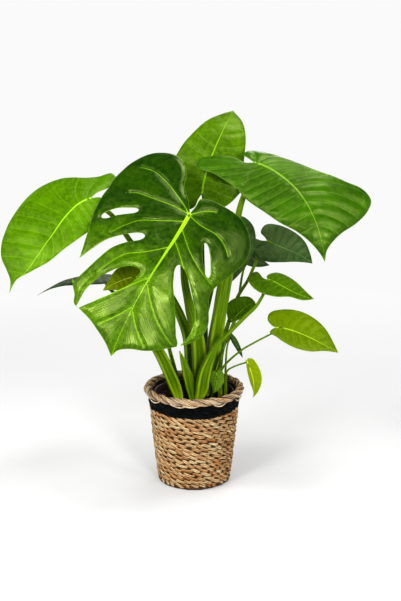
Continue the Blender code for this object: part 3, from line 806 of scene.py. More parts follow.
FRONT = LeafPlan(
    name="front", tone=LeafTone.GREEN,
    rib=((-5, -30, 336), (-41, -78, 273), (-87, -118, 240), (-134, -150, 120)), face=(-0.1, -1.0, 0.28),
    face_tip=(-0.05, -1.0, 0.12), fold=(-8, -8), curl=(-2.0, -2.5), heel=-1.5,
    low=(
        (-20, -14), (-40, -30), (-70, -40), (-92, -62), (-97, -92), (-80, -128), (-31, -156),
        (20, -161), (75, -152), (125, -134), (168, -121), (195, -116), (207, -106), (215, -99),
        (227, -94), (232, -80), (239, -60), (250, -40), (264, -18),
    ),
    high=(
        (-14, 3), (-30, 5), (-37, 22), (-39, 48), (-35, 78), (-25, 98), (-6, 115), (18, 123), (50, 114),
        (75, 104), (102, 101), (122, 112), (146, 126), (173, 129), (197, 119), (218, 99), (231, 83),
        (243, 66), (253, 46), (259, 24), (269, 6),
    ),
    slits=(
        Slit(((32, -84), (50, -114), (78, -134)), (12, 17, 13)),
        Slit(((76, -47), (96, -74), (116, -91), (143, -103), (192, -122)), (15, 17, 19, 21, 26), True),
        Slit(((134, -20), (153, -36), (192, -67), (230, -86)), (12, 27, 35, 34, 24, 5), True),
        Slit(
            ((92, 28), (117, 50), (159, 83), (184, 92), (201, 95), (214, 97), (224, 97)),
            (14, 29, 37, 30, 20, 7, 4),
            True,
        ),
        Slit(((34, 46), (54, 61), (79, 82)), (8, 12, 14, 12, 8)),
    ),
    foot=(4, -8),
    via=((8, -8, 51), (6, -6, 107), (-8, 2, 165), (-17, 10, 215), (-17, 16, 265), (-9, 18, 305)),
    stalk=((0, 6), (0.08, 10), (0.17, 12.5), (0.32, 12), (0.45, 8), (0.6, 5.8), (0.95, 3.8)), reach=22,
    veins=(
        ((2, -4), (-21, -36), (-39, -63), (-53, -96), (-54, -124)),
        ((5, -4), (1, -42), (-1, -70), (-4, -100), (0, -119)),
        ((22, -3), (37, -37), (52, -70), (71, -87), (95, -101)),
        ((78, -2), (101, -28), (121, -56), (142, -70), (168, -82)),
        ((38, 3), (62, 31), (74, 54), (80, 71), (84, 92)),
        ((8, 4), (12, 22), (13, 56), (19, 74), (31, 91)), ((3, 3), (-3, 9), (-14, 21), (-23, 39)),
        ((62, 2), (104, 52), (150, 96), (190, 112)), ((140, -2), (170, -26), (205, -58), (222, -78)),
        ((150, 2), (186, 34), (212, 66), (222, 84)), ((196, -2), (222, -22), (240, -40)),
        ((200, 2), (228, 24), (246, 42)),
    ),
    rib_width=7.2, rib_fade=1.8, vein_width=1.4, quilt=2.0, wave=4.5,
)

LEFT = LeafPlan(
    name="left", tone=LeafTone.BRIGHT,
    rib=((-175, 30, 350), (-231, 3, 334), (-231, -38, 295), (-311, -50, 201)),
    face=(-0.25, -0.75, 0.75), face_tip=(-0.3, -0.9, 0.3), fold=(-4, -4), curl=(-1.5, -1.5), heel=-1.5,
    low=(
        (-12, -7), (-38, -12), (-60, -26), (-60, -46), (-34, -48), (-6, -58), (16, -78), (42, -95),
        (69, -98), (100, -95), (136, -88), (168, -74), (188, -54), (197, -32), (206, -14),
    ),
    high=(
        (-12, 5), (-18, 13), (-12, 25), (2, 38), (18, 50), (36, 56), (61, 53), (89, 43), (115, 32),
        (141, 23), (172, 7), (200, -5),
    ),
    foot=(-6, 14), via=((-8, 14, 40), (-14, 16, 112), (-42, 25, 177), (-111, 35, 273), (-147, 38, 322)),
    stalk=((0, 6), (0.12, 8), (0.35, 8), (0.55, 5.5), (0.95, 3.4)), rib_width=3.6, veins_each=10,
    wave=3.5,
)

TOP = LeafPlan(
    name="top", tone=LeafTone.MID, rib=((14, 60, 350), (19, 96, 395), (41, 84, 440), (70, 160, 486)),
    face=(-0.2, -1.0, 0.35), face_tip=(-0.2, -0.9, 0.6), fold=(-6, -6), curl=(-1.5, -1.5), heel=-1.0,
    low=(
        (-10, -5), (-22, -12), (-28, -28), (-14, -50), (14, -66), (50, -64), (90, -55), (130, -42),
        (160, -24),
    ),
    high=(
        (-10, 6), (-24, 12), (-28, 28), (-12, 44), (14, 56), (44, 66), (78, 62), (110, 52), (145, 38),
        (168, 18),
    ),
    foot=(10, 34), via=((18, 45, 90), (16, 60, 179), (14, 85, 282), (17, 80, 330)),
    stalk=((0, 8), (0.45, 4.6), (0.95, 3.2)), rib_width=3.4,
)

RIGHT = LeafPlan(
    name="right", tone=LeafTone.PALE,
    rib=((101, 40, 410), (151, 18, 402), (205, -78, 365), (218, -70, 259)), face=(-0.35, -0.55, 1.0),
    face_tip=(0.1, -1.0, 0.35), fold=(-6, -6), curl=(-2.2, -2.2), heel=-1.5,
    low=(
        (-12, -5), (-40, 2), (-76, -2), (-99, -14), (-96, -30), (-56, -40), (-20, -54), (18, -66),
        (60, -70), (108, -64), (144, -54), (174, -36), (200, -20), (226, -6),
    ),
    high=(
        (-10, 6), (-24, 14), (-18, 30), (20, 34), (55, 40), (90, 52), (125, 80), (150, 106), (166, 110),
        (180, 96), (192, 70), (204, 30), (222, 6),
    ),
    foot=(20, 6),
    via=((31, 8, 67), (36, 9, 100), (45, 12, 152), (53, 16, 199), (73, 25, 303), (84, 30, 348)),
    stalk=((0, 7), (0.08, 11), (0.17, 12.5), (0.5, 12), (0.62, 7), (0.95, 3.4)), rib_width=3.6,
    veins_each=13, quilt=2.4, wave=3.5,
)

SHADE = LeafPlan(
    name="shade", tone=LeafTone.DARK,
    rib=((129, 110, 259), (152, 102, 248), (183, 88, 244), (211, 85, 221)), face=(-0.2, -0.8, 1.0),
    low=((-6, -5), (-17, -8), (-14, -22), (0, -38), (20, -40), (45, -30), (72, -14)),
    high=((-6, 5), (-16, 10), (-16, 30), (4, 42), (34, 42), (62, 32), (82, 14)), foot=(32, 34),
    via=((50, 60, 77), (79, 100, 156), (98, 115, 184), (120, 124, 232)),
    stalk=((0, 6), (0.45, 3.4), (0.95, 2.4)),
)

BEHIND = LeafPlan(
    name="behind", tone=LeafTone.DARK, rib=((62, 66, 290), (72, 50, 255), (76, 46, 225), (66, 50, 196)),
    face=(0.1, -1.0, 0.3),
    low=((-6, -6), (-18, -10), (-16, -28), (4, -42), (30, -42), (58, -28), (80, -10)),
    high=((-6, 6), (-18, 12), (-14, 30), (6, 42), (34, 40), (60, 26), (82, 10)), foot=(-8, 44),
    via=((28, 80, 155), (50, 92, 250)), stalk=((0, 5), (0.45, 3.2), (0.95, 2.4)),
)

BACK_LEFT = LeafPlan(
    name="back_left", tone=LeafTone.GREY,
    rib=((-153, 110, 189), (-195, 104, 191), (-241, 90, 186), (-283, 85, 163)), face=(-0.1, 0.0, 1.0),
    low=((-6, -5), (-16, -12), (-12, -34), (18, -46), (52, -40), (88, -24), (116, -8)),
    high=((-6, 5), (-16, 14), (-10, 36), (20, 46), (56, 36), (90, 16), (116, 2)), foot=(-28, -22),
    via=((-40, -25, 44), (-62, -20, 90), (-95, 10, 128), (-138, 88, 160)),
    stalk=((0, 8), (0.1, 11), (0.28, 10), (0.42, 8), (0.65, 4), (0.95, 2.6)), veins_each=9,
)

INNER = LeafPlan(
    name="inner", tone=LeafTone.OLIVE,
    rib=((-96, 26, 212), (-122, 18, 210), (-140, 8, 203), (-158, 2, 192)), face=(0.1, -1.0, 0.7),
    low=((-5, -4), (-12, -8), (-8, -22), (12, -28), (34, -22), (52, -10)), foot=(-28, 26),
    via=((-40, 34, 60), (-60, 40, 129), (-90, 46, 185)), stalk=((0, 4.5), (0.45, 3.0), (0.95, 2.2)),
    quilt=1.6, cell=2.6,
)

GREY = LeafPlan(
    name="grey", tone=LeafTone.GREY,
    rib=((96, 150, 224), (108, 146, 214), (122, 142, 208), (138, 138, 206)), face=(-0.1, -0.8, 0.8),
    low=((-4, -3), (-9, -6), (-4, -15), (12, -17), (30, -10)),
    high=((-4, 3), (-9, 7), (-4, 16), (12, 18), (30, 10)), foot=(16, 56),
    via=((30, 64, 40), (69, 104, 93), (90, 156, 190)), stalk=((0, 4), (0.45, 2.6), (0.95, 1.8)),
    cell=2.0, wave=1.0, veins_each=5, rib_width=1.6,
)

MID_RIGHT = LeafPlan(
    name="mid_right", tone=LeafTone.MID,
    rib=((126, 0, 213), (148, -4, 208), (169, -12, 188), (207, -12, 181)), face=(-0.1, -0.7, 1.0),
    curl=(-3.0, -3.0),
    low=(
        (-6, 0), (-20, 10), (-30, 0), (-28, -16), (-18, -26), (0, -32), (26, -27), (50, -12), (70, -9),
    ),
    high=((-2, 5), (8, 20), (24, 25), (52, 22), (76, 10)), foot=(8, -37),
    via=((12, -38, 22), (19, -39, 61), (40, -40, 106), (60, -36, 127), (90, -20, 153), (109, -8, 169)),
    stalk=((0, 4.5), (0.06, 8), (0.13, 11.5), (0.22, 10.5), (0.33, 7), (0.45, 4), (0.95, 2.2)),
    reach=10, notch=2, cell=2.4, wave=1.8,
)

MID = LeafPlan(
    name="mid", tone=LeafTone.MID, rib=((64, 50, 124), (79, 49, 136), (90, 44, 155), (108, 43, 161)),
    face=(-0.1, -0.9, 0.6), low=((0, -3), (12, -8), (30, -14), (48, -15), (58, -8)),
    high=((-1, 5), (5, 18), (20, 28), (36, 24), (52, 13)), foot=(44, 14),
    via=((46, 22, 40), (52, 36, 78)), stalk=((0, 4.5), (0.45, 3.0), (0.95, 2.0)), reach=10, notch=2,
    cell=2.4, wave=1.5,
)

LOW_RIGHT = LeafPlan(
    name="low_right", tone=LeafTone.YOUNG,
    rib=((141, 0, 126), (164, -4, 131), (208, -12, 109), (251, -12, 84)), face=(-0.1, -0.9, 0.7),
    low=((-5, -2), (-10, -7), (0, -16), (22, -25), (48, -28), (75, -22), (98, -9)),
    high=((-4, 4), (-12, 18), (-8, 29), (8, 35), (30, 39), (55, 37), (80, 29), (104, 13)),
    foot=(46, -3), via=((46, -3, 24), (48, -4, 50), (80, -4, 84), (106, 4, 98)),
    stalk=((0, 4), (0.3, 1.8), (0.95, 1.4)), reach=10, notch=2, cell=2.4, wave=1.8,
)

HANGING = LeafPlan(
    name="hanging", tone=LeafTone.OLIVE,
    rib=((91, -30, 77), (98, -36, 61), (109, -39, 36), (102, -35, 9)), face=(-0.3, -1.0, 0.2),
    low=((-1, -1), (8, -4), (26, -7), (44, -6), (60, -1)),
    high=((-1, 3), (2, 10), (12, 14), (24, 16), (38, 15), (54, 9)), foot=(55, -8),
    via=((55, -8, 28), (58, -10, 50), (68, -15, 59)), stalk=((0, 3), (0.4, 1.5), (0.95, 1.2)), reach=8,
    notch=2, cell=2.0, wave=1.0, veins_each=6, rib_width=1.8,
)

IN_POT = LeafPlan(
    name="in_pot", tone=LeafTone.MID, rib=((39, -18, 51), (42, -23, 39), (39, -27, 25), (33, -29, 15)),
    face=(0.1, -1.0, 0.4), low=((-3, -3), (0, -10), (14, -13), (28, -7)),
    foot=(44, -13), via=((44, -13, 20), (42, -12, 38)),
    stalk=((0, 3), (0.45, 2.2), (0.95, 1.6)), reach=7, notch=1.5, cell=1.6, wave=0.8, veins_each=5,
    rib_width=1.6,
)

NARROW = LeafPlan(
    name="narrow", tone=LeafTone.DARK, rib=((64, 30, 106), (72, 28, 94), (80, 25, 80), (86, 22, 64)),
    face=(-0.4, -1.0, 0.3), low=((0, -2), (10, -5), (24, -5), (38, -3)),
    foot=(56, 12), via=((56, 22, 50), (60, 32, 88)),
    stalk=((0, 2.6), (0.45, 1.8), (0.95, 1.2)), reach=6, notch=1.5, cell=1.8, wave=0.6, veins_each=4,
    rib_width=1.4,
)

BUD = StemPlan(
    name="bud_stem", dark=True, foot=(31, -9), via=((34, -8, 40), (44, -7, 74), (54, -5, 92)),
    radii=((0, 1.8), (0.6, 1.4), (0.85, 2.6), (1, 0.5)),
)

SHEATH = StemPlan(
    name="sheath", foot=(-3, -27), via=((-9, -27, 35), (-16, -24, 62), (-25, -22, 90)),
    radii=((0, 5), (0.3, 8), (0.55, 8), (0.8, 4.5), (1, 1)),
)

STEMS = (BUD, SHEATH)

PLANS = (
    FRONT, LEFT, TOP, RIGHT, SHADE, BEHIND, BACK_LEFT, INNER,
    GREY, MID_RIGHT, MID, LOW_RIGHT, HANGING, IN_POT, NARROW,
)


class BladeSurface:
    """The curved sheet of a leaf: maps (along, across) in metres to a place."""

    def __init__(self, plan: LeafPlan, ground: Points) -> None:
        """Sample the midrib.

        Args:
            plan: The leaf's sizes.
            ground: The middle of the soil's top.
        """
        handles = np.array(plan.rib, float) * MM + ground
        t = np.linspace(0.0, 1.0, 241)[:, None]
        self.line = (
            (1 - t) ** 3 * handles[0]
            + 3 * (1 - t) ** 2 * t * handles[1]
            + 3 * (1 - t) * t**2 * handles[2]
            + t**3 * handles[3]
        )
        self.tangent = unit(np.gradient(self.line, axis=0))
        self.reach = arc_lengths(self.line)
        self.length = float(self.reach[-1])
        self.face = np.array(plan.face, float)
        self.face_tip = np.array(plan.face_tip or plan.face, float)
        self.fold = np.radians(plan.fold)
        self.curl = np.array(plan.curl, float)
        self.heel = plan.heel if abs(plan.heel) > 1e-3 else 1e-3

    def along_rib(self, values: Points, along: Points) -> Points:
        """Read a quantity of the midrib at distances along it."""
        columns = [np.interp(along, self.reach, values[:, k]) for k in range(3)]
        return np.stack(columns, axis=-1)

    def at(self, along: Points, across: Points) -> Points:
        """Place on the middle of the sheet."""
        on_rib = np.clip(along, 0.0, self.length)
        place = self.along_rib(self.line, on_rib)
        forward = unit(self.along_rib(self.tangent, on_rib))
        share = (on_rib / self.length)[..., None]
        side = unit(np.cross(self.face * (1 - share) + self.face_tip * share, forward))
        up = np.cross(forward, side)
        back = np.maximum(-along, 0.0)[..., None]
        place = place - forward * np.sin(self.heel * back) / self.heel
        place = place + up * (1 - np.cos(self.heel * back)) / self.heel
        place = place + forward * np.maximum(along - self.length, 0.0)[..., None]
        half = (across > 0).astype(int)
        fold, curl, run = self.fold[half], self.curl[half], np.abs(across)
        out = (np.sin(fold + curl * run) - np.sin(fold)) / curl
        rise = (np.cos(fold) - np.cos(fold + curl * run)) / curl
        return place + side * (np.sign(across) * out)[..., None] + up * rise[..., None]

    def normal(self, along: Points, across: Points) -> Points:
        """Unit normal on the upper side."""
        step = 1.5 * MM
        du = self.at(along + step, across) - self.at(along - step, across)
        dv = self.at(along, across + step) - self.at(along, across - step)
        return unit(np.cross(du, dv))


@dataclass
class Blade:
    """The blade of a leaf: a thin quilted sheet with raised veins underneath.

    vein_hollow, rib_hollow: how far the skin stays low beside a vein and beside the midrib.
    edge_fade, joint_fade: over which distance the quilting starts at the edge and the joint.
    edge_taper: width of the thin edge; rib_tallest: the midrib's most height.
    far: the largest value that the shader needs of a distance from a vein.
    """

    plan: LeafPlan
    ground: Points
    seed: float
    thickness: float = 0.8 * MM
    edge_steps: int = 10
    vein_hollow: float = 4.5 * MM
    rib_hollow: float = 6.0 * MM
    edge_fade: float = 9 * MM
    joint_fade: float = 18 * MM
    edge_taper: float = 1.6 * MM
    rib_tallest: float = 2.4 * MM
    far: float = 12.0

    def __post_init__(self) -> None:
        """Prepare the curved sheet and the outline."""
        self.surface = BladeSurface(self.plan, self.ground)
        tip = (self.surface.length / MM, 0.0)
        notch = (self.plan.notch, 0.0)
        self.low = smooth_through([notch, *self.plan.low, tip], self.edge_steps) * MM
        high = self.plan.high or [(along, -across) for along, across in self.plan.low]
        self.high = smooth_through([notch, *high, tip], self.edge_steps) * MM

    def outline(self) -> Points:
        """Closed outline, in equal small steps."""
        spacing = self.plan.cell * 0.7 * MM
        low, high = resampled(self.low, spacing), resampled(self.high, spacing)
        return np.vstack([low, high[-2:0:-1]])

    def slit_loop(self, slit: Slit) -> Points:
        """Closed outline of a slit, with rounded ends."""
        spine = smooth_through(slit.spine, 12)
        shares = np.linspace(0.0, 1.0, len(spine))
        stations = np.linspace(0.0, 1.0, len(slit.widths))
        width = np.interp(shares, stations, slit.widths)
        reach = arc_lengths(spine)
        even = np.arange(0.0, reach[-1], self.plan.cell * 0.5)
        even = np.append(even, reach[-1])
        spine = np.stack([np.interp(even, reach, spine[:, k]) for k in (0, 1)], axis=1)
        half = np.interp(even, reach, width) / 2
        half = half * np.sqrt(1.0 - np.clip(1.0 - even / slit.widths[0], 0.0, 1.0) ** 2)
        if not slit.mouth:
            left_over = (reach[-1] - even) / slit.widths[-1]
            half = half * np.sqrt(1.0 - np.clip(1.0 - left_over, 0.0, 1.0) ** 2)
        axis = np.gradient(spine, axis=0)
        side = unit(np.stack([-axis[:, 1], axis[:, 0]], axis=1))
        left = spine + half[:, None] * side
        right = spine - half[:, None] * side
        last = None if slit.mouth else -1
        return np.vstack([left, right[1:last][::-1]]) * MM

    def vein_paths(self) -> list[Points]:
        """Lateral veins, from the midrib towards the edge."""
        if self.plan.veins:
            paths = [smooth_through(vein, 8) * MM for vein in self.plan.veins]
        else:
            paths = self.regular_veins()
        return [resampled(path, self.plan.cell * 0.8 * MM) for path in paths]

    def regular_veins(self) -> list[Points]:
        """Side veins by rule: crowded at the joint, arching towards the tip."""
        share = (np.arange(self.plan.veins_each) + 0.3) / self.plan.veins_each
        starts, ends = 0.9 * share**1.5, 0.10 + 0.86 * share**0.85
        paths = []
        for side in (self.low, self.high):
            reach = arc_lengths(side)
            for start, end in zip(starts, ends):
                root = np.array((start * self.surface.length + self.plan.notch * MM, 0.0))
                target = np.array([np.interp(end * reach[-1], reach, side[:, k]) for k in (0, 1)])
                target = root + (target - root) * 0.95
                bend = np.array((root[0] + 0.30 * (target[0] - root[0]), 0.55 * target[1]))
                t = np.linspace(0.0, 1.0, 14)[:, None]
                paths.append((1 - t) ** 2 * root + 2 * (1 - t) * t * bend + t**2 * target)
        return paths

    def grid(self, rim: Points, guides: list[Points]) -> Points:
        """Staggered points inside the rim, clear of the guides."""
        step = self.plan.cell * MM
        rows = np.arange(rim[:, 0].min(), rim[:, 0].max(), step * 0.87)
        columns = np.arange(rim[:, 1].min() - step, rim[:, 1].max() + step, step)
        grid = np.array([(r, c + (i % 2) * step / 2) for i, r in enumerate(rows) for c in columns])
        grid = grid[inside(grid, rim)]
        for guide in guides:
            grid = grid[distance_to_path(grid, guide) > 0.45 * step]
        return grid

    def flat_mesh(self, loops: list[Points], veins: list[Points]) -> tuple[Points, Points]:
        """Triangulate the blade, with edges along its rim and slits and points along its veins.

        Args:
            loops: The outline, then the slits.
            veins: The lateral veins.

        Returns:
            Flat points and the triangles that are kept.
        """
        step = self.plan.cell * MM
        rim = loops[0]
        stations = np.arange(self.plan.notch * MM + step / 2, self.surface.length, step * 0.8)
        rib = np.stack([stations, np.zeros(len(stations))], axis=1)
        points, edges, start = [], [], 0
        for loop in loops:
            points.append(loop)
            edges += [(start + k, start + (k + 1) % len(loop)) for k in range(len(loop))]
            start += len(loop)
        points += [path[inside(path, rim)] for path in (rib, *veins)]
        points.append(self.grid(rim, [*loops, rib, *veins]))
        corners = [Vector(p) for p in np.vstack(points)]
        flat, _, faces, _, _, _ = delaunay_2d_cdt(corners, edges, [], 0, 1e-7)
        flat, faces = np.array([tuple(p) for p in flat]), np.array(faces)
        middles = flat[faces].mean(axis=1)
        kept = inside(middles, rim)
        for loop in loops[1:]:
            kept &= ~inside(middles, loop)
        used, index = np.unique(faces[kept], return_inverse=True)
        return flat[used], index.reshape(-1, 3)

    def lift(self, flat: Points, vein_gap: Points, rib_gap: Points, edge: Points) -> Points:
        """How far the skin stands off the sheet: quilting between the veins, and waves."""
        plan = self.plan
        hollow = np.exp(-((vein_gap / self.vein_hollow) ** 1.6))
        rib_hollow = np.exp(-((rib_gap / self.rib_hollow) ** 1.6))
        fade = smoothstep(edge, 0.0, self.edge_fade)
        lift = plan.quilt * MM * (1.0 - np.maximum(hollow, rib_hollow)) * fade
        spots = np.column_stack([flat, np.zeros(len(flat))])
        lift = lift + plan.wave * MM * noise_at(spots, 13.0, self.seed)
        lift = lift + 0.30 * plan.wave * MM * noise_at(spots, 38.0, self.seed + 5)
        lift = lift + 0.10 * MM * noise_at(spots, 110.0, self.seed + 9)
        return lift * smoothstep(np.hypot(*flat.T), 0.0, self.joint_fade)

    def build(self) -> Piece:
        """Make the blade's object."""
        plan = self.plan
        veins = self.vein_paths()
        loops = [self.outline(), *(self.slit_loop(slit) for slit in plan.slits)]
        flat, faces = self.flat_mesh(loops, veins)
        along, across = flat.T
        gaps = np.array([distance_to_path(flat, vein) for vein in veins])
        vein_gap = gaps.min(axis=0)
        rib_gap = distance_to_path(flat, np.array([(plan.notch * MM, 0.0), (self.surface.length, 0.0)]))
        edge = np.min([distance_to_path(flat, np.vstack([loop, loop[:1]])) for loop in loops], axis=0)
        order = np.sort(np.vstack([gaps, rib_gap[None]]), axis=0)
        travel = np.clip(rib_gap / max(np.abs(across).max(), 1e-6), 0.0, 1.0)
        vein_half = plan.vein_width * MM * (1.0 - 0.72 * travel) / 2
        progress = np.clip(along / self.surface.length, 0.0, 1.0)
        rib_half = plan.rib_width * MM * np.maximum((1.0 - progress) ** plan.rib_fade, 0.09) / 2
        rib = np.where(along < plan.notch * MM * 0.5, 9.0, rib_gap / rib_half)

        half = self.thickness / 2 * (0.35 + 0.65 * smoothstep(edge, 0.0, self.edge_taper))
        crown = np.clip(1.0 - (rib_gap / (rib_half * 1.25)) ** 2, 0.0, 1.0) ** 0.5
        crown = crown * smoothstep(along, 0.0, 5 * MM)
        ridge = np.clip(1.0 - (vein_gap / (vein_half * 2.0)) ** 2, 0.0, 1.0)
        tall = np.minimum(rib_half, self.rib_tallest)
        below = half + crown * tall * 0.8 + ridge * vein_half * 0.8
        above = half + crown * tall * 0.35
        lift = self.lift(flat, vein_gap, rib_gap, edge)
        middle, normal = self.surface.at(along, across), self.surface.normal(along, across)
        upper = middle + normal * (lift + above)[:, None]
        lower = middle + normal * (lift - below)[:, None]

        count = len(flat)
        ends = {(int(a), int(b)) for face in faces for a, b in zip(face, np.roll(face, -1))}
        solid = [tuple(face) for face in faces]
        solid += [(a + count, c + count, b + count) for a, b, c in faces]
        solid += [(a, a + count, b + count, b) for a, b in ends if (b, a) not in ends]
        values = {
            "along": along,
            "across": across,
            "between": order[0] / np.maximum(order[0] + order[1], 1e-9),
            "vein": np.minimum(vein_gap / vein_half, self.far),
            "rib": np.minimum(rib, self.far),
            "edge": edge,
        }
        both = {name: np.tile(value, 2) for name, value in values.items()}
        shape = Shape()
        shape.add(np.vstack([upper, lower]), solid, **both, under=np.repeat((0.0, 1.0), count))
        return shape.build(f"blade_{plan.name}", tone_material(plan.tone))


@cache
def tone_material(tone: LeafTone) -> Material:
    """The node material of a leaf tone, made once."""
    return tone.value.material()


@dataclass
class Stem:
    """A fleshy tube that starts in the soil, with a groove between two wings.

    rise, sunk: heights above and below the soil's top that its foot passes.
    groove: the side that the groove looks to at the foot.
    groove_turn, wing_place, wing_turn: widths and place round the tube, in radians.
    skew: how much the streaks differ between its two sides.
    """

    plan: LeafPlan | StemPlan
    ground: Points
    material: Material
    rise: float = 8 * MM
    sunk: float = 3 * MM
    groove: tuple = (0.25, -1.0, 0.3)
    groove_turn: float = 0.42
    wing_place: float = 0.72
    wing_turn: float = 0.24
    skew: float = 0.3
    sides: int = 32

    def route(self) -> list[Points]:
        """From just under the soil's top through the plan's own places."""
        foot = np.array((*self.plan.foot, 0.0)) * MM + self.ground
        via = [np.array(place) * MM + self.ground for place in self.plan.via]
        return [foot - UPWARD * self.sunk, foot + UPWARD * self.rise, *via]

    def section(self) -> tuple[Points, Points]:
        """How much of the groove and of the wings there is at each side of a ring."""
        off = np.abs((circle(self.sides) + math.pi) % (2 * math.pi) - math.pi)
        groove = np.exp(-((off / self.groove_turn) ** 2))
        return groove, np.exp(-(((off - self.wing_place) / self.wing_turn) ** 2))

    def tube(self, path: Points, ring: Points, wing: Points, foot: Points) -> Piece:
        """Make the stem's object.

        Args:
            path: The centre line.
            ring: The radii of each ring.
            wing: How much of a wing each point of each ring has.
            foot: How near each ring is to the soil, 0 to 1.
        """
        turn = circle(self.sides)
        frame = tube_frame(path, np.array(self.groove))
        shape = Shape()
        shape.add(
            tube_points(path, frame, (ring * np.cos(turn), ring * np.sin(turn))),
            ring_faces(len(path), self.sides, False),
            along=np.repeat(arc_lengths(path), self.sides),
            turn=np.tile(np.cos(turn) + np.abs(turn - math.pi) * self.skew, len(path)),
            wing=wing.ravel(),
            foot=np.repeat(foot, self.sides),
        )
        return shape.build(f"stem_{self.plan.name}", self.material)


@dataclass
class Stalk(Stem):
    """A leaf's stalk: winged and grooved low down, round above, bent into the rib.

    sheath: the share of its length that is winged.
    knee: shares of its length, and how much thicker it is there.
    """

    blade_half: float = 0.5 * MM
    joint_gap: float = 0.6 * MM
    sheath: float = 0.45
    step: float = 3.0 * MM
    knee: tuple = ((0.0, 0.9, 0.955, 0.975, 1.0), (1.0, 1.0, 1.12, 0.95, 0.2))

    def path(self) -> Points:
        """Centre line from just under the soil's top into the blade's rib."""
        plan = self.plan
        surface = BladeSurface(plan, self.ground)
        inset = np.array((plan.notch + 2.5) * MM)
        zero = np.array(0.0)
        top = surface.at(inset, zero)
        down = -surface.normal(inset, zero)
        end = plan.stalk[-1][1] * MM
        joint = top + down * (self.blade_half + self.joint_gap + 0.35 * end)
        points = [*self.route(), top + down * plan.reach * MM, joint]
        for run, sink in ((5.0, 0.25), (12.0, 0.1)):
            spot = inset + run * MM
            points.append(surface.at(spot, zero) - surface.normal(spot, zero) * (sink * end + 0.2 * MM))
        return resampled(smooth_through(points, 14), self.step)

    def build(self) -> Piece:
        """Make the stalk's object."""
        plan = self.plan
        path = self.path()
        share = arc_lengths(path) / arc_lengths(path)[-1]
        radius = np.interp(share, *zip(*plan.stalk)) * MM
        radius = radius * np.interp(share, *self.knee)
        radius = radius * (1.0 + 0.05 * noise_at(path, 30.0, plan.foot[0]))
        groove, wings = self.section()
        winged = (1.0 - smoothstep(share, self.sheath * 0.6, self.sheath))[:, None]
        scale = 1.0 - (0.16 + 0.40 * winged) * groove + (0.04 + 0.22 * winged) * wings
        wing = wings * (0.25 + 0.75 * winged)
        return self.tube(path, radius[:, None] * scale, wing, 1.0 - smoothstep(share, 0.0, 0.16))


@dataclass
class BareStem(Stem):
    """A stem that carries no blade: a bud on its thin stem, or an empty sheath."""

    rise: float = 6 * MM
    groove: tuple = (0.45, -1.0, 0.2)
    groove_turn: float = 0.55
    wing_place: float = 0.95
    wing_turn: float = 0.22
    skew: float = 0.0
    sides: int = 24

    def build(self) -> Piece:
        """Make the stem's object."""
        plan = self.plan
        path = resampled(smooth_through(self.route(), 10), 2 * MM)
        share = arc_lengths(path) / arc_lengths(path)[-1]
        radius = np.interp(share, *zip(*plan.radii)) * MM
        opened = 0.0 if plan.dark else 1.0
        groove, wings = (opened * part for part in self.section())
        ring = radius[:, None] * (1.0 - 0.75 * groove[None] + 0.30 * wings[None])
        wing = np.maximum(wings[None], smoothstep(share, 0.85, 1.0)[:, None])
        return self.tube(path, ring, wing, 1.0 - smoothstep(share, 0.0, 0.2))


# ---------------------------------------------------------------- basket


@dataclass
class Strand:
    """One length of straw: closed round the basket, or with two ends.

    number: sets the strand's own lumps and colour.
    squash: its thickness away from the basket, as a share of its width.
    chance, narrowing: its colour and its relative size, one for all or one a point.
    """

    path: Points
    radius: float
    number: float
    sides: int = 8
    squash: float = 0.8
    closed: bool = True
    chance: Any = 0.5
    narrowing: Any = 1.0

    def add_to(self, shape: Shape, outward: Points, sunk: Points) -> None:
        """Lay the strand into a shape.

        Args:
            shape: The shape that gathers the strands.
            outward: Direction away from the basket's axis at each point.
            sunk: How deep each point lies in the weave, 0 to 1; it is drawn as painted shade.
        """
        if self.closed:
            tangent = unit(np.roll(self.path, -1, axis=0) - np.roll(self.path, 1, axis=0))
        else:
            tangent = unit(np.gradient(self.path, axis=0))
        side = unit(outward - tangent * (outward * tangent).sum(axis=1, keepdims=True))
        other = np.cross(tangent, side)
        turn = circle(self.sides)
        spots = np.arange(len(self.path)) * 0.31 + self.number * 17.0
        swell = 1.0 + 0.16 * np.sin(spots * 1.7) * np.cos(spots * 0.61 + self.number)
        size = self.radius * swell * np.broadcast_to(self.narrowing, len(self.path))
        roll = arc_lengths(self.path) * (260.0 + 8.0 * (self.number % 7.0)) + self.number
        crease = 1.0 + 0.20 * np.cos(2.0 * turn[None] + roll[:, None])
        flat = size[:, None] * self.squash * np.cos(turn)[None] * crease
        upright = size[:, None] * np.sin(turn)[None] * crease
        # Painted shade: the flanks and the points deep in the weave are stored as 'sunk' and drawn darker.
        flank = 1.0 - smoothstep(np.cos(turn), 0.1, 0.9)
        painted_weave_shade = 1.0 - (1.0 - sunk)[:, None] * (1.0 - 0.9 * flank)[None]
        shape.add(
            tube_points(self.path, (side, other), (flat, upright)),
            ring_faces(len(self.path), self.sides, self.closed),
            along=np.repeat(arc_lengths(self.path), self.sides),
            turn=np.tile(turn, len(self.path)) / math.pi,
            strand=self.number % 10.0,
            sunk=painted_weave_shade.ravel(),
            chance=np.repeat(np.broadcast_to(self.chance, len(self.path)), self.sides),
        )


def scattered(numbers: Points, seed: float) -> Points:
    """A fixed chance from 0 to 1 for each whole number."""
    chances = np.random.default_rng(int(seed * 100)).random(4096)
    return chances[np.asarray(numbers, int) % 4096]


class FirstNumber(IntEnum):
    """Where the numbers of each kind of row or strand start; a number sets its chances."""

    WALL = 0
    BAND = 40
    STAKE = 60
    LINING = 60
    BASE = 80
    ROPE = 100


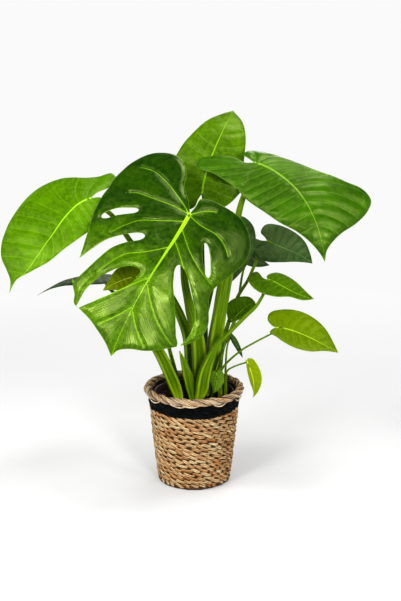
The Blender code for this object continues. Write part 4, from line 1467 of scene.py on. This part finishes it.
@dataclass
class Basket:
    """Round basket of twined straw: base, wall, dark band and rope rim."""

    wall_box: tuple
    band_box: tuple
    rim_box: tuple
    base_box: tuple
    rows: int = 17
    headroom: float = 3.6 * MM
    band_rows: int = 3
    half_twists: int = 30
    straw: float = 2.65 * MM
    swing: float = 1.7 * MM
    slant: float = 0.75
    steps: int = 9
    hoop_depth: float = 4.6 * MM
    hoop_thickness: float = 1.0 * MM
    stake_depth: float = 4.4 * MM
    stake_straw: float = 1.5 * MM
    base_rings: int = 13
    bundles: int = 3
    bundle_straws: int = 6
    rope_turns: int = 7
    rope_straw: float = 1.45 * MM
    rope_points: int = 600
    lining_rows: int = 4
    lining_pitch: float = 4.2 * MM
    lining_depth: float = 4.8 * MM
    loop_starts: tuple = (-2.05, -1.80, -1.18, -0.62, 0.45, 1.6, 2.7, 3.6)
    loop_straw: float = 1.3 * MM
    loop_points: int = 16

    def radius_at(self, height: float) -> float:
        """Outer radius of the wall at a height, from the frame's own pieces."""
        base, top = half_width(self.base_box), half_width(self.band_box)
        share = min(max(height / self.band_box[1][2], 0.0), 1.0)
        return base + (top - base) * share**0.8

    def twined_row(
        self, shape: Shape, height: float, number: int, radius: float, straw: float, swing: float
    ) -> None:
        """Two strands twisted round each other, all round the wall.

        Args:
            shape: The shape that gathers the strands.
            height: Height of the row's middle.
            number: The row's number, which sets its chances.
            radius: Outer radius of the wall there.
            straw: Radius of a strand.
            swing: How far the strands move in and out.
        """
        angle = circle(self.half_twists * self.steps)
        outward = outwards(angle)
        offset = 6.28 * float(scattered(np.array(number), 11.0))
        wander = 0.8 * MM * np.sin(angle * 3 + number) + 0.6 * MM * np.sin(angle * 8 + number * 2.1)
        for which in (0, 1):
            phase = self.half_twists / 2 * angle + offset + which * math.pi
            phase = phase + 0.5 * np.sin(angle * 5 + number * 1.3) + 0.3 * np.sin(angle * 11 + number)
            lozenge = np.floor((phase + math.pi) / (2 * math.pi))
            chance = scattered(lozenge, number + 0.37 * which)
            out = radius - straw - swing + swing * np.cos(phase) + 0.7 * MM * (chance - 0.7)
            up = height - straw * self.slant * np.sin(phase) + wander
            # How deep the strand lies in the weave, drawn as painted shade.
            sunk = smoothstep(-np.cos(phase), -0.15, 0.6)
            bulge = 0.8 + 0.3 * np.maximum(np.cos(phase), 0.0) + 0.12 * scattered(lozenge, number + 5.0)
            path = placed(outward, out, up)
            strand = Strand(path, straw, number * 2.0 + which + 0.37, chance=chance, narrowing=bulge)
            strand.add_to(shape, outward, sunk)

    def hoop(self, shape: Shape, low: float, high: float) -> None:
        """A thin layer behind the rows, where their strands cross, drawn fully dark as painted shade in
        the gaps.
        """
        heights = np.linspace(low, high, 6)
        reach = np.array([self.radius_at(height) for height in heights]) - self.hoop_depth
        out = np.concatenate([reach, reach[::-1] - self.hoop_thickness])
        up = np.concatenate([heights, heights[::-1]])
        angle = circle(96)
        rings = [placed(outward, out, up) for outward in outwards(angle)]
        faces = ring_faces(len(angle), len(out), True)
        shape.add(np.vstack(rings), faces, along=0.0, turn=0.0, strand=0.0, sunk=1.0, chance=0.3)

    def stakes(self, shape: Shape, low: float, high: float) -> None:
        """Upright stakes that the rows are twined round."""
        heights = np.linspace(low, high, 14)
        reach = np.array([self.radius_at(height) for height in heights]) - self.stake_depth
        for k, outward in enumerate(outwards(circle(self.half_twists))):
            path = placed(outward, reach, heights)
            strand = Strand(path, self.stake_straw, float(FirstNumber.STAKE + k), sides=6, closed=False)
            # The stakes lie deep in the weave, so they get painted shade.
            strand.add_to(shape, np.tile(outward, (len(path), 1)), np.full(len(path), 0.8))

    def wall(self) -> Piece:
        """The rows of the wall, from the base to the band."""
        shape = Shape()
        low, high = self.base_box[0][2] + self.straw, self.wall_box[1][2]
        pitch = (high - self.headroom - low) / (self.rows - 0.55)
        for row in range(self.rows):
            height = low + (row + 0.45) * pitch
            radius = self.radius_at(height)
            self.twined_row(shape, height, FirstNumber.WALL + row, radius, self.straw, self.swing)
        self.stakes(shape, low, high)
        self.hoop(shape, low, high)
        return shape.build("wall_weave", STRAW.material())

    def band(self) -> Piece:
        """The dark rows under the rim."""
        shape = Shape()
        low, high = self.band_box[0][2], self.band_box[1][2]
        pitch = (high - low) / self.band_rows
        for row in range(self.band_rows):
            height = low + (row + 0.5) * pitch
            radius = self.radius_at(height) + 0.4 * MM
            number = FirstNumber.BAND + row
            self.twined_row(shape, height, number, radius, self.straw * 1.15, self.swing * 0.8)
        self.stakes(shape, low, high)
        self.hoop(shape, low, high + 2 * MM)
        return shape.build("band_weave", BLACK_STRAW.material())

    def base(self) -> Piece:
        """Rings of straw that make the flat bottom."""
        shape = Shape()
        for k in range(self.base_rings):
            radius = (k + 0.7) * (half_width(self.base_box) - self.straw) / (self.base_rings - 0.3)
            count = max(16, int(radius / (2.2 * MM)) * 2)
            for which in (0, 1):
                height = self.straw * 1.25 + which * self.straw * 1.25
                path = placed(outwards(circle(count)), radius, height)
                strand = Strand(path, self.straw * 1.08, float(FirstNumber.BASE + k * 2 + which))
                # The base coil gets a little painted shade.
                strand.add_to(shape, np.tile(UPWARD, (count, 1)), np.full(count, 0.15))
        return shape.build("base_coil", STRAW.material())

    def rope(self, shape: Shape) -> None:
        """Bundles of straw, twisted in themselves and round each other."""
        low, high = self.rim_box[0][2], self.rim_box[1][2]
        thick = (high - low) / 2
        middle = half_width(self.rim_box) - thick * 0.95
        angle = circle(self.rope_points)
        outward = outwards(angle)
        number = int(FirstNumber.ROPE)
        for bundle in range(self.bundles):
            swing = self.rope_turns * angle + bundle * 2 * math.pi / self.bundles
            swing = swing + 0.35 * np.sin(angle * 4 + bundle)
            for straw in range(self.bundle_straws):
                twist = swing + 3 * angle + straw * 2 * math.pi / self.bundle_straws
                wander = 0.6 * MM * np.sin(angle * (5 + straw) + number)
                out = middle + thick * (0.42 * np.cos(swing) + 0.34 * np.cos(twist)) + wander
                up = (low + high) / 2 - thick * (0.46 * np.sin(swing) + 0.34 * np.sin(twist))
                aside = placed(outward, np.cos(swing), -np.sin(swing))
                aside = aside + 0.8 * placed(outward, np.cos(twist), -np.sin(twist))
                chance = scattered(np.floor(angle * 10.0 / (2 * math.pi) + straw * 0.37), float(number))
                # How deep the straw lies in the rope, drawn as painted shade.
                sunk = 0.5 * smoothstep(-np.cos(twist - swing), -0.2, 0.8)
                path = placed(outward, out, up - 0.6 * MM)
                strand = Strand(path, self.rope_straw, float(number), sides=7, chance=chance)
                strand.add_to(shape, unit(aside), sunk)
                number += 1

    def rim(self) -> Piece:
        """The rope, with rows inside it and loops over the band."""
        shape = Shape()
        self.rope(shape)
        low, high = self.rim_box[0][2], self.rim_box[1][2]
        radius = half_width(self.rim_box) - (high - low) / 2 * 0.95 - self.lining_depth
        for row in range(self.lining_rows):
            height = low - 8 * MM + row * self.lining_pitch
            self.twined_row(shape, height, FirstNumber.LINING + row, radius, 1.6 * MM, 0.8 * MM)
        self.hoop(shape, low - 2 * MM, (low + high) / 2)
        self.loops(shape, FirstNumber.ROPE + self.bundles * self.bundle_straws)
        return shape.build("rim_rope", RIM_STRAW.material())

    def loops(self, shape: Shape, first: int) -> None:
        """Uneven straws that hang from the rope over the band."""
        share = np.linspace(0.0, 1.0, self.loop_points)
        out = half_width(self.rim_box) - 1.6 * MM - 1.0 * MM * np.sin(share * math.pi)
        for k, start in enumerate(self.loop_starts):
            span, drop, shade = (float(scattered(np.array(k), seed)) for seed in (3.0, 8.0, 5.0))
            angle = start + (0.22 + 0.22 * span) * share
            fall = (3.6 + 3.4 * drop) * MM * np.sin(share * math.pi) ** 0.8
            path = placed(outwards(angle), out, self.rim_box[0][2] + 3.5 * MM - fall)
            chance = 0.55 + 0.4 * shade
            strand = Strand(path, self.loop_straw, float(first + k), closed=False, chance=chance)
            strand.add_to(shape, outwards(angle), np.zeros(self.loop_points))


# ---------------------------------------------------------------- pot and soil


@dataclass
class NurseryPot:
    """Thin plastic pot with a rolled lip, inside the basket."""

    box: tuple
    base_radius: float = 52 * MM
    wall: float = 1.4 * MM
    floor: float = 2.0 * MM
    lip_overhang: float = 1.5 * MM
    segments: int = 96

    def build(self) -> Piece:
        """Make the pot's object."""
        low, high = self.box[0][2], self.box[1][2]
        lip = half_width(self.box)
        top = lip - self.lip_overhang
        profile = (
            (self.base_radius - 2 * MM, low), (self.base_radius, low + 1 * MM),
            (top - 0.6 * MM, high - 5 * MM), (lip - 0.5 * MM, high - 4 * MM),
            (lip, high - 3.2 * MM), (lip, high - 1.0 * MM), (lip - 0.8 * MM, high),
            (top - self.wall * 0.6, high), (top - self.wall * 1.6, high - 1.2 * MM),
            (self.base_radius - self.wall, low + self.floor),
        )
        around = outwards(circle(self.segments))
        shape = Shape()
        rings = [placed(around, radius, height) for radius, height in profile]
        shape.add(np.vstack(rings), ring_faces(len(rings), self.segments, False))
        return shape.build("pot_plastic", POT_FINISH.material())


@dataclass
class SoilBed:
    """Crumbly soil that fills the pot, with bits of bark lying on it."""

    box: tuple
    rings: int = 46
    segments: int = 120
    crumbs: tuple = ((120.0, 3.0, 1.2), (320.0, 4.0, 0.7), (40.0, 5.0, 1.4))
    edge_reach: float = 8 * MM
    edge_drop: float = 3 * MM
    foot_share: float = 0.86
    lumps: int = 520
    seed: int = 11

    def build(self) -> Piece:
        """Make the soil's object."""
        low, high = self.box[0][2], self.box[1][2]
        outer, count = half_width(self.box), self.segments
        around = outwards(circle(count))
        rings = [placed(around, outer * k / self.rings, high) for k in range(1, self.rings + 1)]
        top = np.vstack([UPWARD * high, *rings])
        rough = sum(noise_at(top, scale, seed) * size for scale, seed, size in self.crumbs)
        top[:, 2] += rough * MM - self.sunk(np.hypot(top[:, 0], top[:, 1]), outer)
        faces = [(0, 1 + k, 1 + (k + 1) % count) for k in range(count)]
        for ring in range(self.rings):
            faces += skirt(1 + ring * count, 1 + (ring + 1) * count, count)
        faces.append(tuple(len(top) + k for k in reversed(range(count))))
        shape = Shape()
        shape.add(np.vstack([top, placed(around, self.foot_share * outer, low)]), faces, bit=0.0)
        self.scatter(shape, high, outer)
        return shape.build("soil_bed", SOIL_FINISH.material())

    def sunk(self, reach: Points, outer: float) -> Points:
        """How far the top sinks near the pot's wall."""
        return smoothstep(reach, outer - self.edge_reach, outer) * self.edge_drop

    def scatter(self, shape: Shape, high: float, outer: float) -> None:
        """Strew crumbs and bark over the top."""
        chance = np.random.default_rng(self.seed)
        corners = 6
        turn = circle(corners)
        levels, widths = (-1.0, -0.5, 0.4, 1.0), (0.25, 0.95, 0.85, 0.2)
        for _ in range(self.lumps):
            radius = (outer - 3 * MM) * math.sqrt(chance.random())
            angle = chance.random() * 2 * math.pi
            size = MM * (0.9 + 2.2 * chance.random() ** 2)
            stretch = 1.0 + chance.random()
            spin = chance.random() * math.pi
            rings = []
            for level, width in zip(levels, widths):
                jitter = 0.75 + 0.5 * chance.random(corners)
                x = width * jitter * np.cos(turn) * stretch * size
                y = width * jitter * np.sin(turn) * size
                rings.append(np.stack([x, y, np.full(corners, level * size * 0.7)], axis=1))
            c, s = math.cos(spin), math.sin(spin)
            lump = np.vstack(rings) @ np.array(((c, s, 0.0), (-s, c, 0.0), (0.0, 0.0, 1.0)))
            height = high + 0.3 * size - self.sunk(np.array(radius), outer)
            lump += (radius * math.cos(angle), radius * math.sin(angle), height)
            shape.add(lump, ring_faces(len(levels), corners, False), bit=float(chance.random() > 0.72))


# ---------------------------------------------------------------- studio


@dataclass(frozen=True)
class SoftLight:
    """One square soft light that looks at a place."""

    name: str
    place: tuple
    size: float
    power: float
    aim: tuple = (0.0, 0.0, 0.35)

    def hang(self) -> None:
        """Put the light into the scene."""
        lamp = bpy.data.lights.new(self.name, "AREA")
        lamp.size = self.size
        lamp.energy = self.power
        holder = bpy.data.objects.new(self.name, lamp)
        holder.location = self.place
        holder.rotation_euler = (Vector(self.aim) - Vector(self.place)).to_track_quat("-Z", "Y").to_euler()
        bpy.context.scene.collection.objects.link(holder)


@dataclass
class Studio:
    """Pale floor, white surroundings, soft lights and the camera."""

    camera_place: tuple = (0.0113, -2.1, 0.87)
    camera_pitch: float = 14.5
    lens: float = 75.0
    sensor: float = 36.0
    floor_span: float = 8.0
    floor_lines: int = 81
    glow: float = 0.67
    near_glow: float = 0.15
    overhead_glow: float = 0.12
    sky_fade: tuple = (0.27, 0.55)
    lights: tuple = (
        SoftLight("key_light", (-0.95, -1.45, 1.50), 0.5, 17.0),
        SoftLight("near_light", (0.68, -2.00, 0.93), 0.45, 22.0),
        SoftLight("left_light", (-1.50, -0.70, 1.60), 0.7, 12.0),
        SoftLight("right_light", (1.37, -1.32, 1.33), 0.5, 7.0),
        SoftLight("back_light", (0.5, 1.6, 1.6), 1.2, 12.0),
        SoftLight("top_light", (0.25, 0.05, 2.1), 0.7, 14.0),
    )

    def floor(self) -> None:
        """Lay a wide pale floor."""
        lines = self.floor_lines
        grid = np.linspace(-self.floor_span, self.floor_span, lines)
        points = np.array([(x, y, 0.0) for y in grid for x in grid])
        corners = [r * lines + c for r in range(lines - 1) for c in range(lines - 1)]
        faces = [(k, k + 1, k + 1 + lines, k + lines) for k in corners]
        sheet = NodeSheet("studio_floor")
        far = sheet.attribute("away").ramp(0.25, 1.5)
        grain = sheet.noise(sheet.place(), 3.0, 2.0) * 0.02
        tone = sheet.mix(far, (0.50, 0.50, 0.50), (0.0, 0.0, 0.0))
        glow = sheet.mix((far + grain).clamped(), (self.near_glow,) * 3, (self.glow,) * 3)
        shape = Shape()
        shape.add(points, faces, away=np.hypot(points[:, 0], points[:, 1]))
        material = sheet.dress(
            Base_Color=tone,
            Roughness=0.7,
            Specular_IOR_Level=0.0,
            Emission_Color=glow,
            Emission_Strength=1.0,
        )
        shape.build("studio_floor", material)

    def sky(self) -> None:
        """White surroundings at eye level that grow darker overhead."""
        sheet = NodeSheet("studio_world", "worlds")
        fade = sheet.height(sheet.place("Generated")).ramp(*self.sky_fade, self.glow, self.overhead_glow)
        bpy.context.scene.world = sheet.dress(Color=(1.0, 1.0, 1.0), Strength=fade)

    def camera(self) -> None:
        """Place the camera."""
        camera = bpy.data.cameras.new("camera")
        camera.lens = self.lens
        camera.sensor_width = self.sensor
        holder = bpy.data.objects.new("camera", camera)
        holder.location = self.camera_place
        holder.rotation_euler = (math.radians(90.0 - self.camera_pitch), 0.0, 0.0)
        bpy.context.scene.collection.objects.link(holder)
        bpy.context.scene.camera = holder

    def build(self) -> None:
        """Set up the floor, the sky, the lights and the camera."""
        self.floor()
        self.sky()
        for light in self.lights:
            light.hang()
        bpy.context.scene.view_settings.view_transform = "Standard"
        bpy.context.scene.view_settings.look = "High Contrast"
        self.camera()


# ---------------------------------------------------------------- assembly


def settle(piece: Piece, node: str) -> None:
    """Tie a piece to the body and the node it stands for."""
    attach(piece, "root")
    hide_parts(node)
    LOG.info("%s: %d faces for %s", piece.name, len(piece.data.polygons), node)


def main() -> None:
    """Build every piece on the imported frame."""
    logging.basicConfig(level=logging.INFO, format="%(message)s")
    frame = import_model()

    basket = Basket(*(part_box(f"basket_{part}") for part in ("wall", "band", "rim", "base")))
    for part in ("base", "wall", "band", "rim"):
        settle(getattr(basket, part)(), f"basket_{part}")
    settle(NurseryPot(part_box("nursery_pot")).build(), "nursery_pot")
    soil_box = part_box("soil")
    settle(SoilBed(soil_box).build(), "soil")

    ground = UPWARD * float(soil_box[1][2])
    stalk_material = STALK.material()
    for number, plan in enumerate(PLANS):
        settle(Blade(plan, ground, seed=1.0 + number).build(), f"leaf_{plan.name}")
        settle(Stalk(plan, ground, stalk_material).build(), f"stalk_{plan.name}")
    for stem in STEMS:
        material = DARK_STEM.material() if stem.dark else stalk_material
        settle(BareStem(stem, ground, material).build(), stem.name)

    Studio().build()


if __name__ == "__main__":
    main()
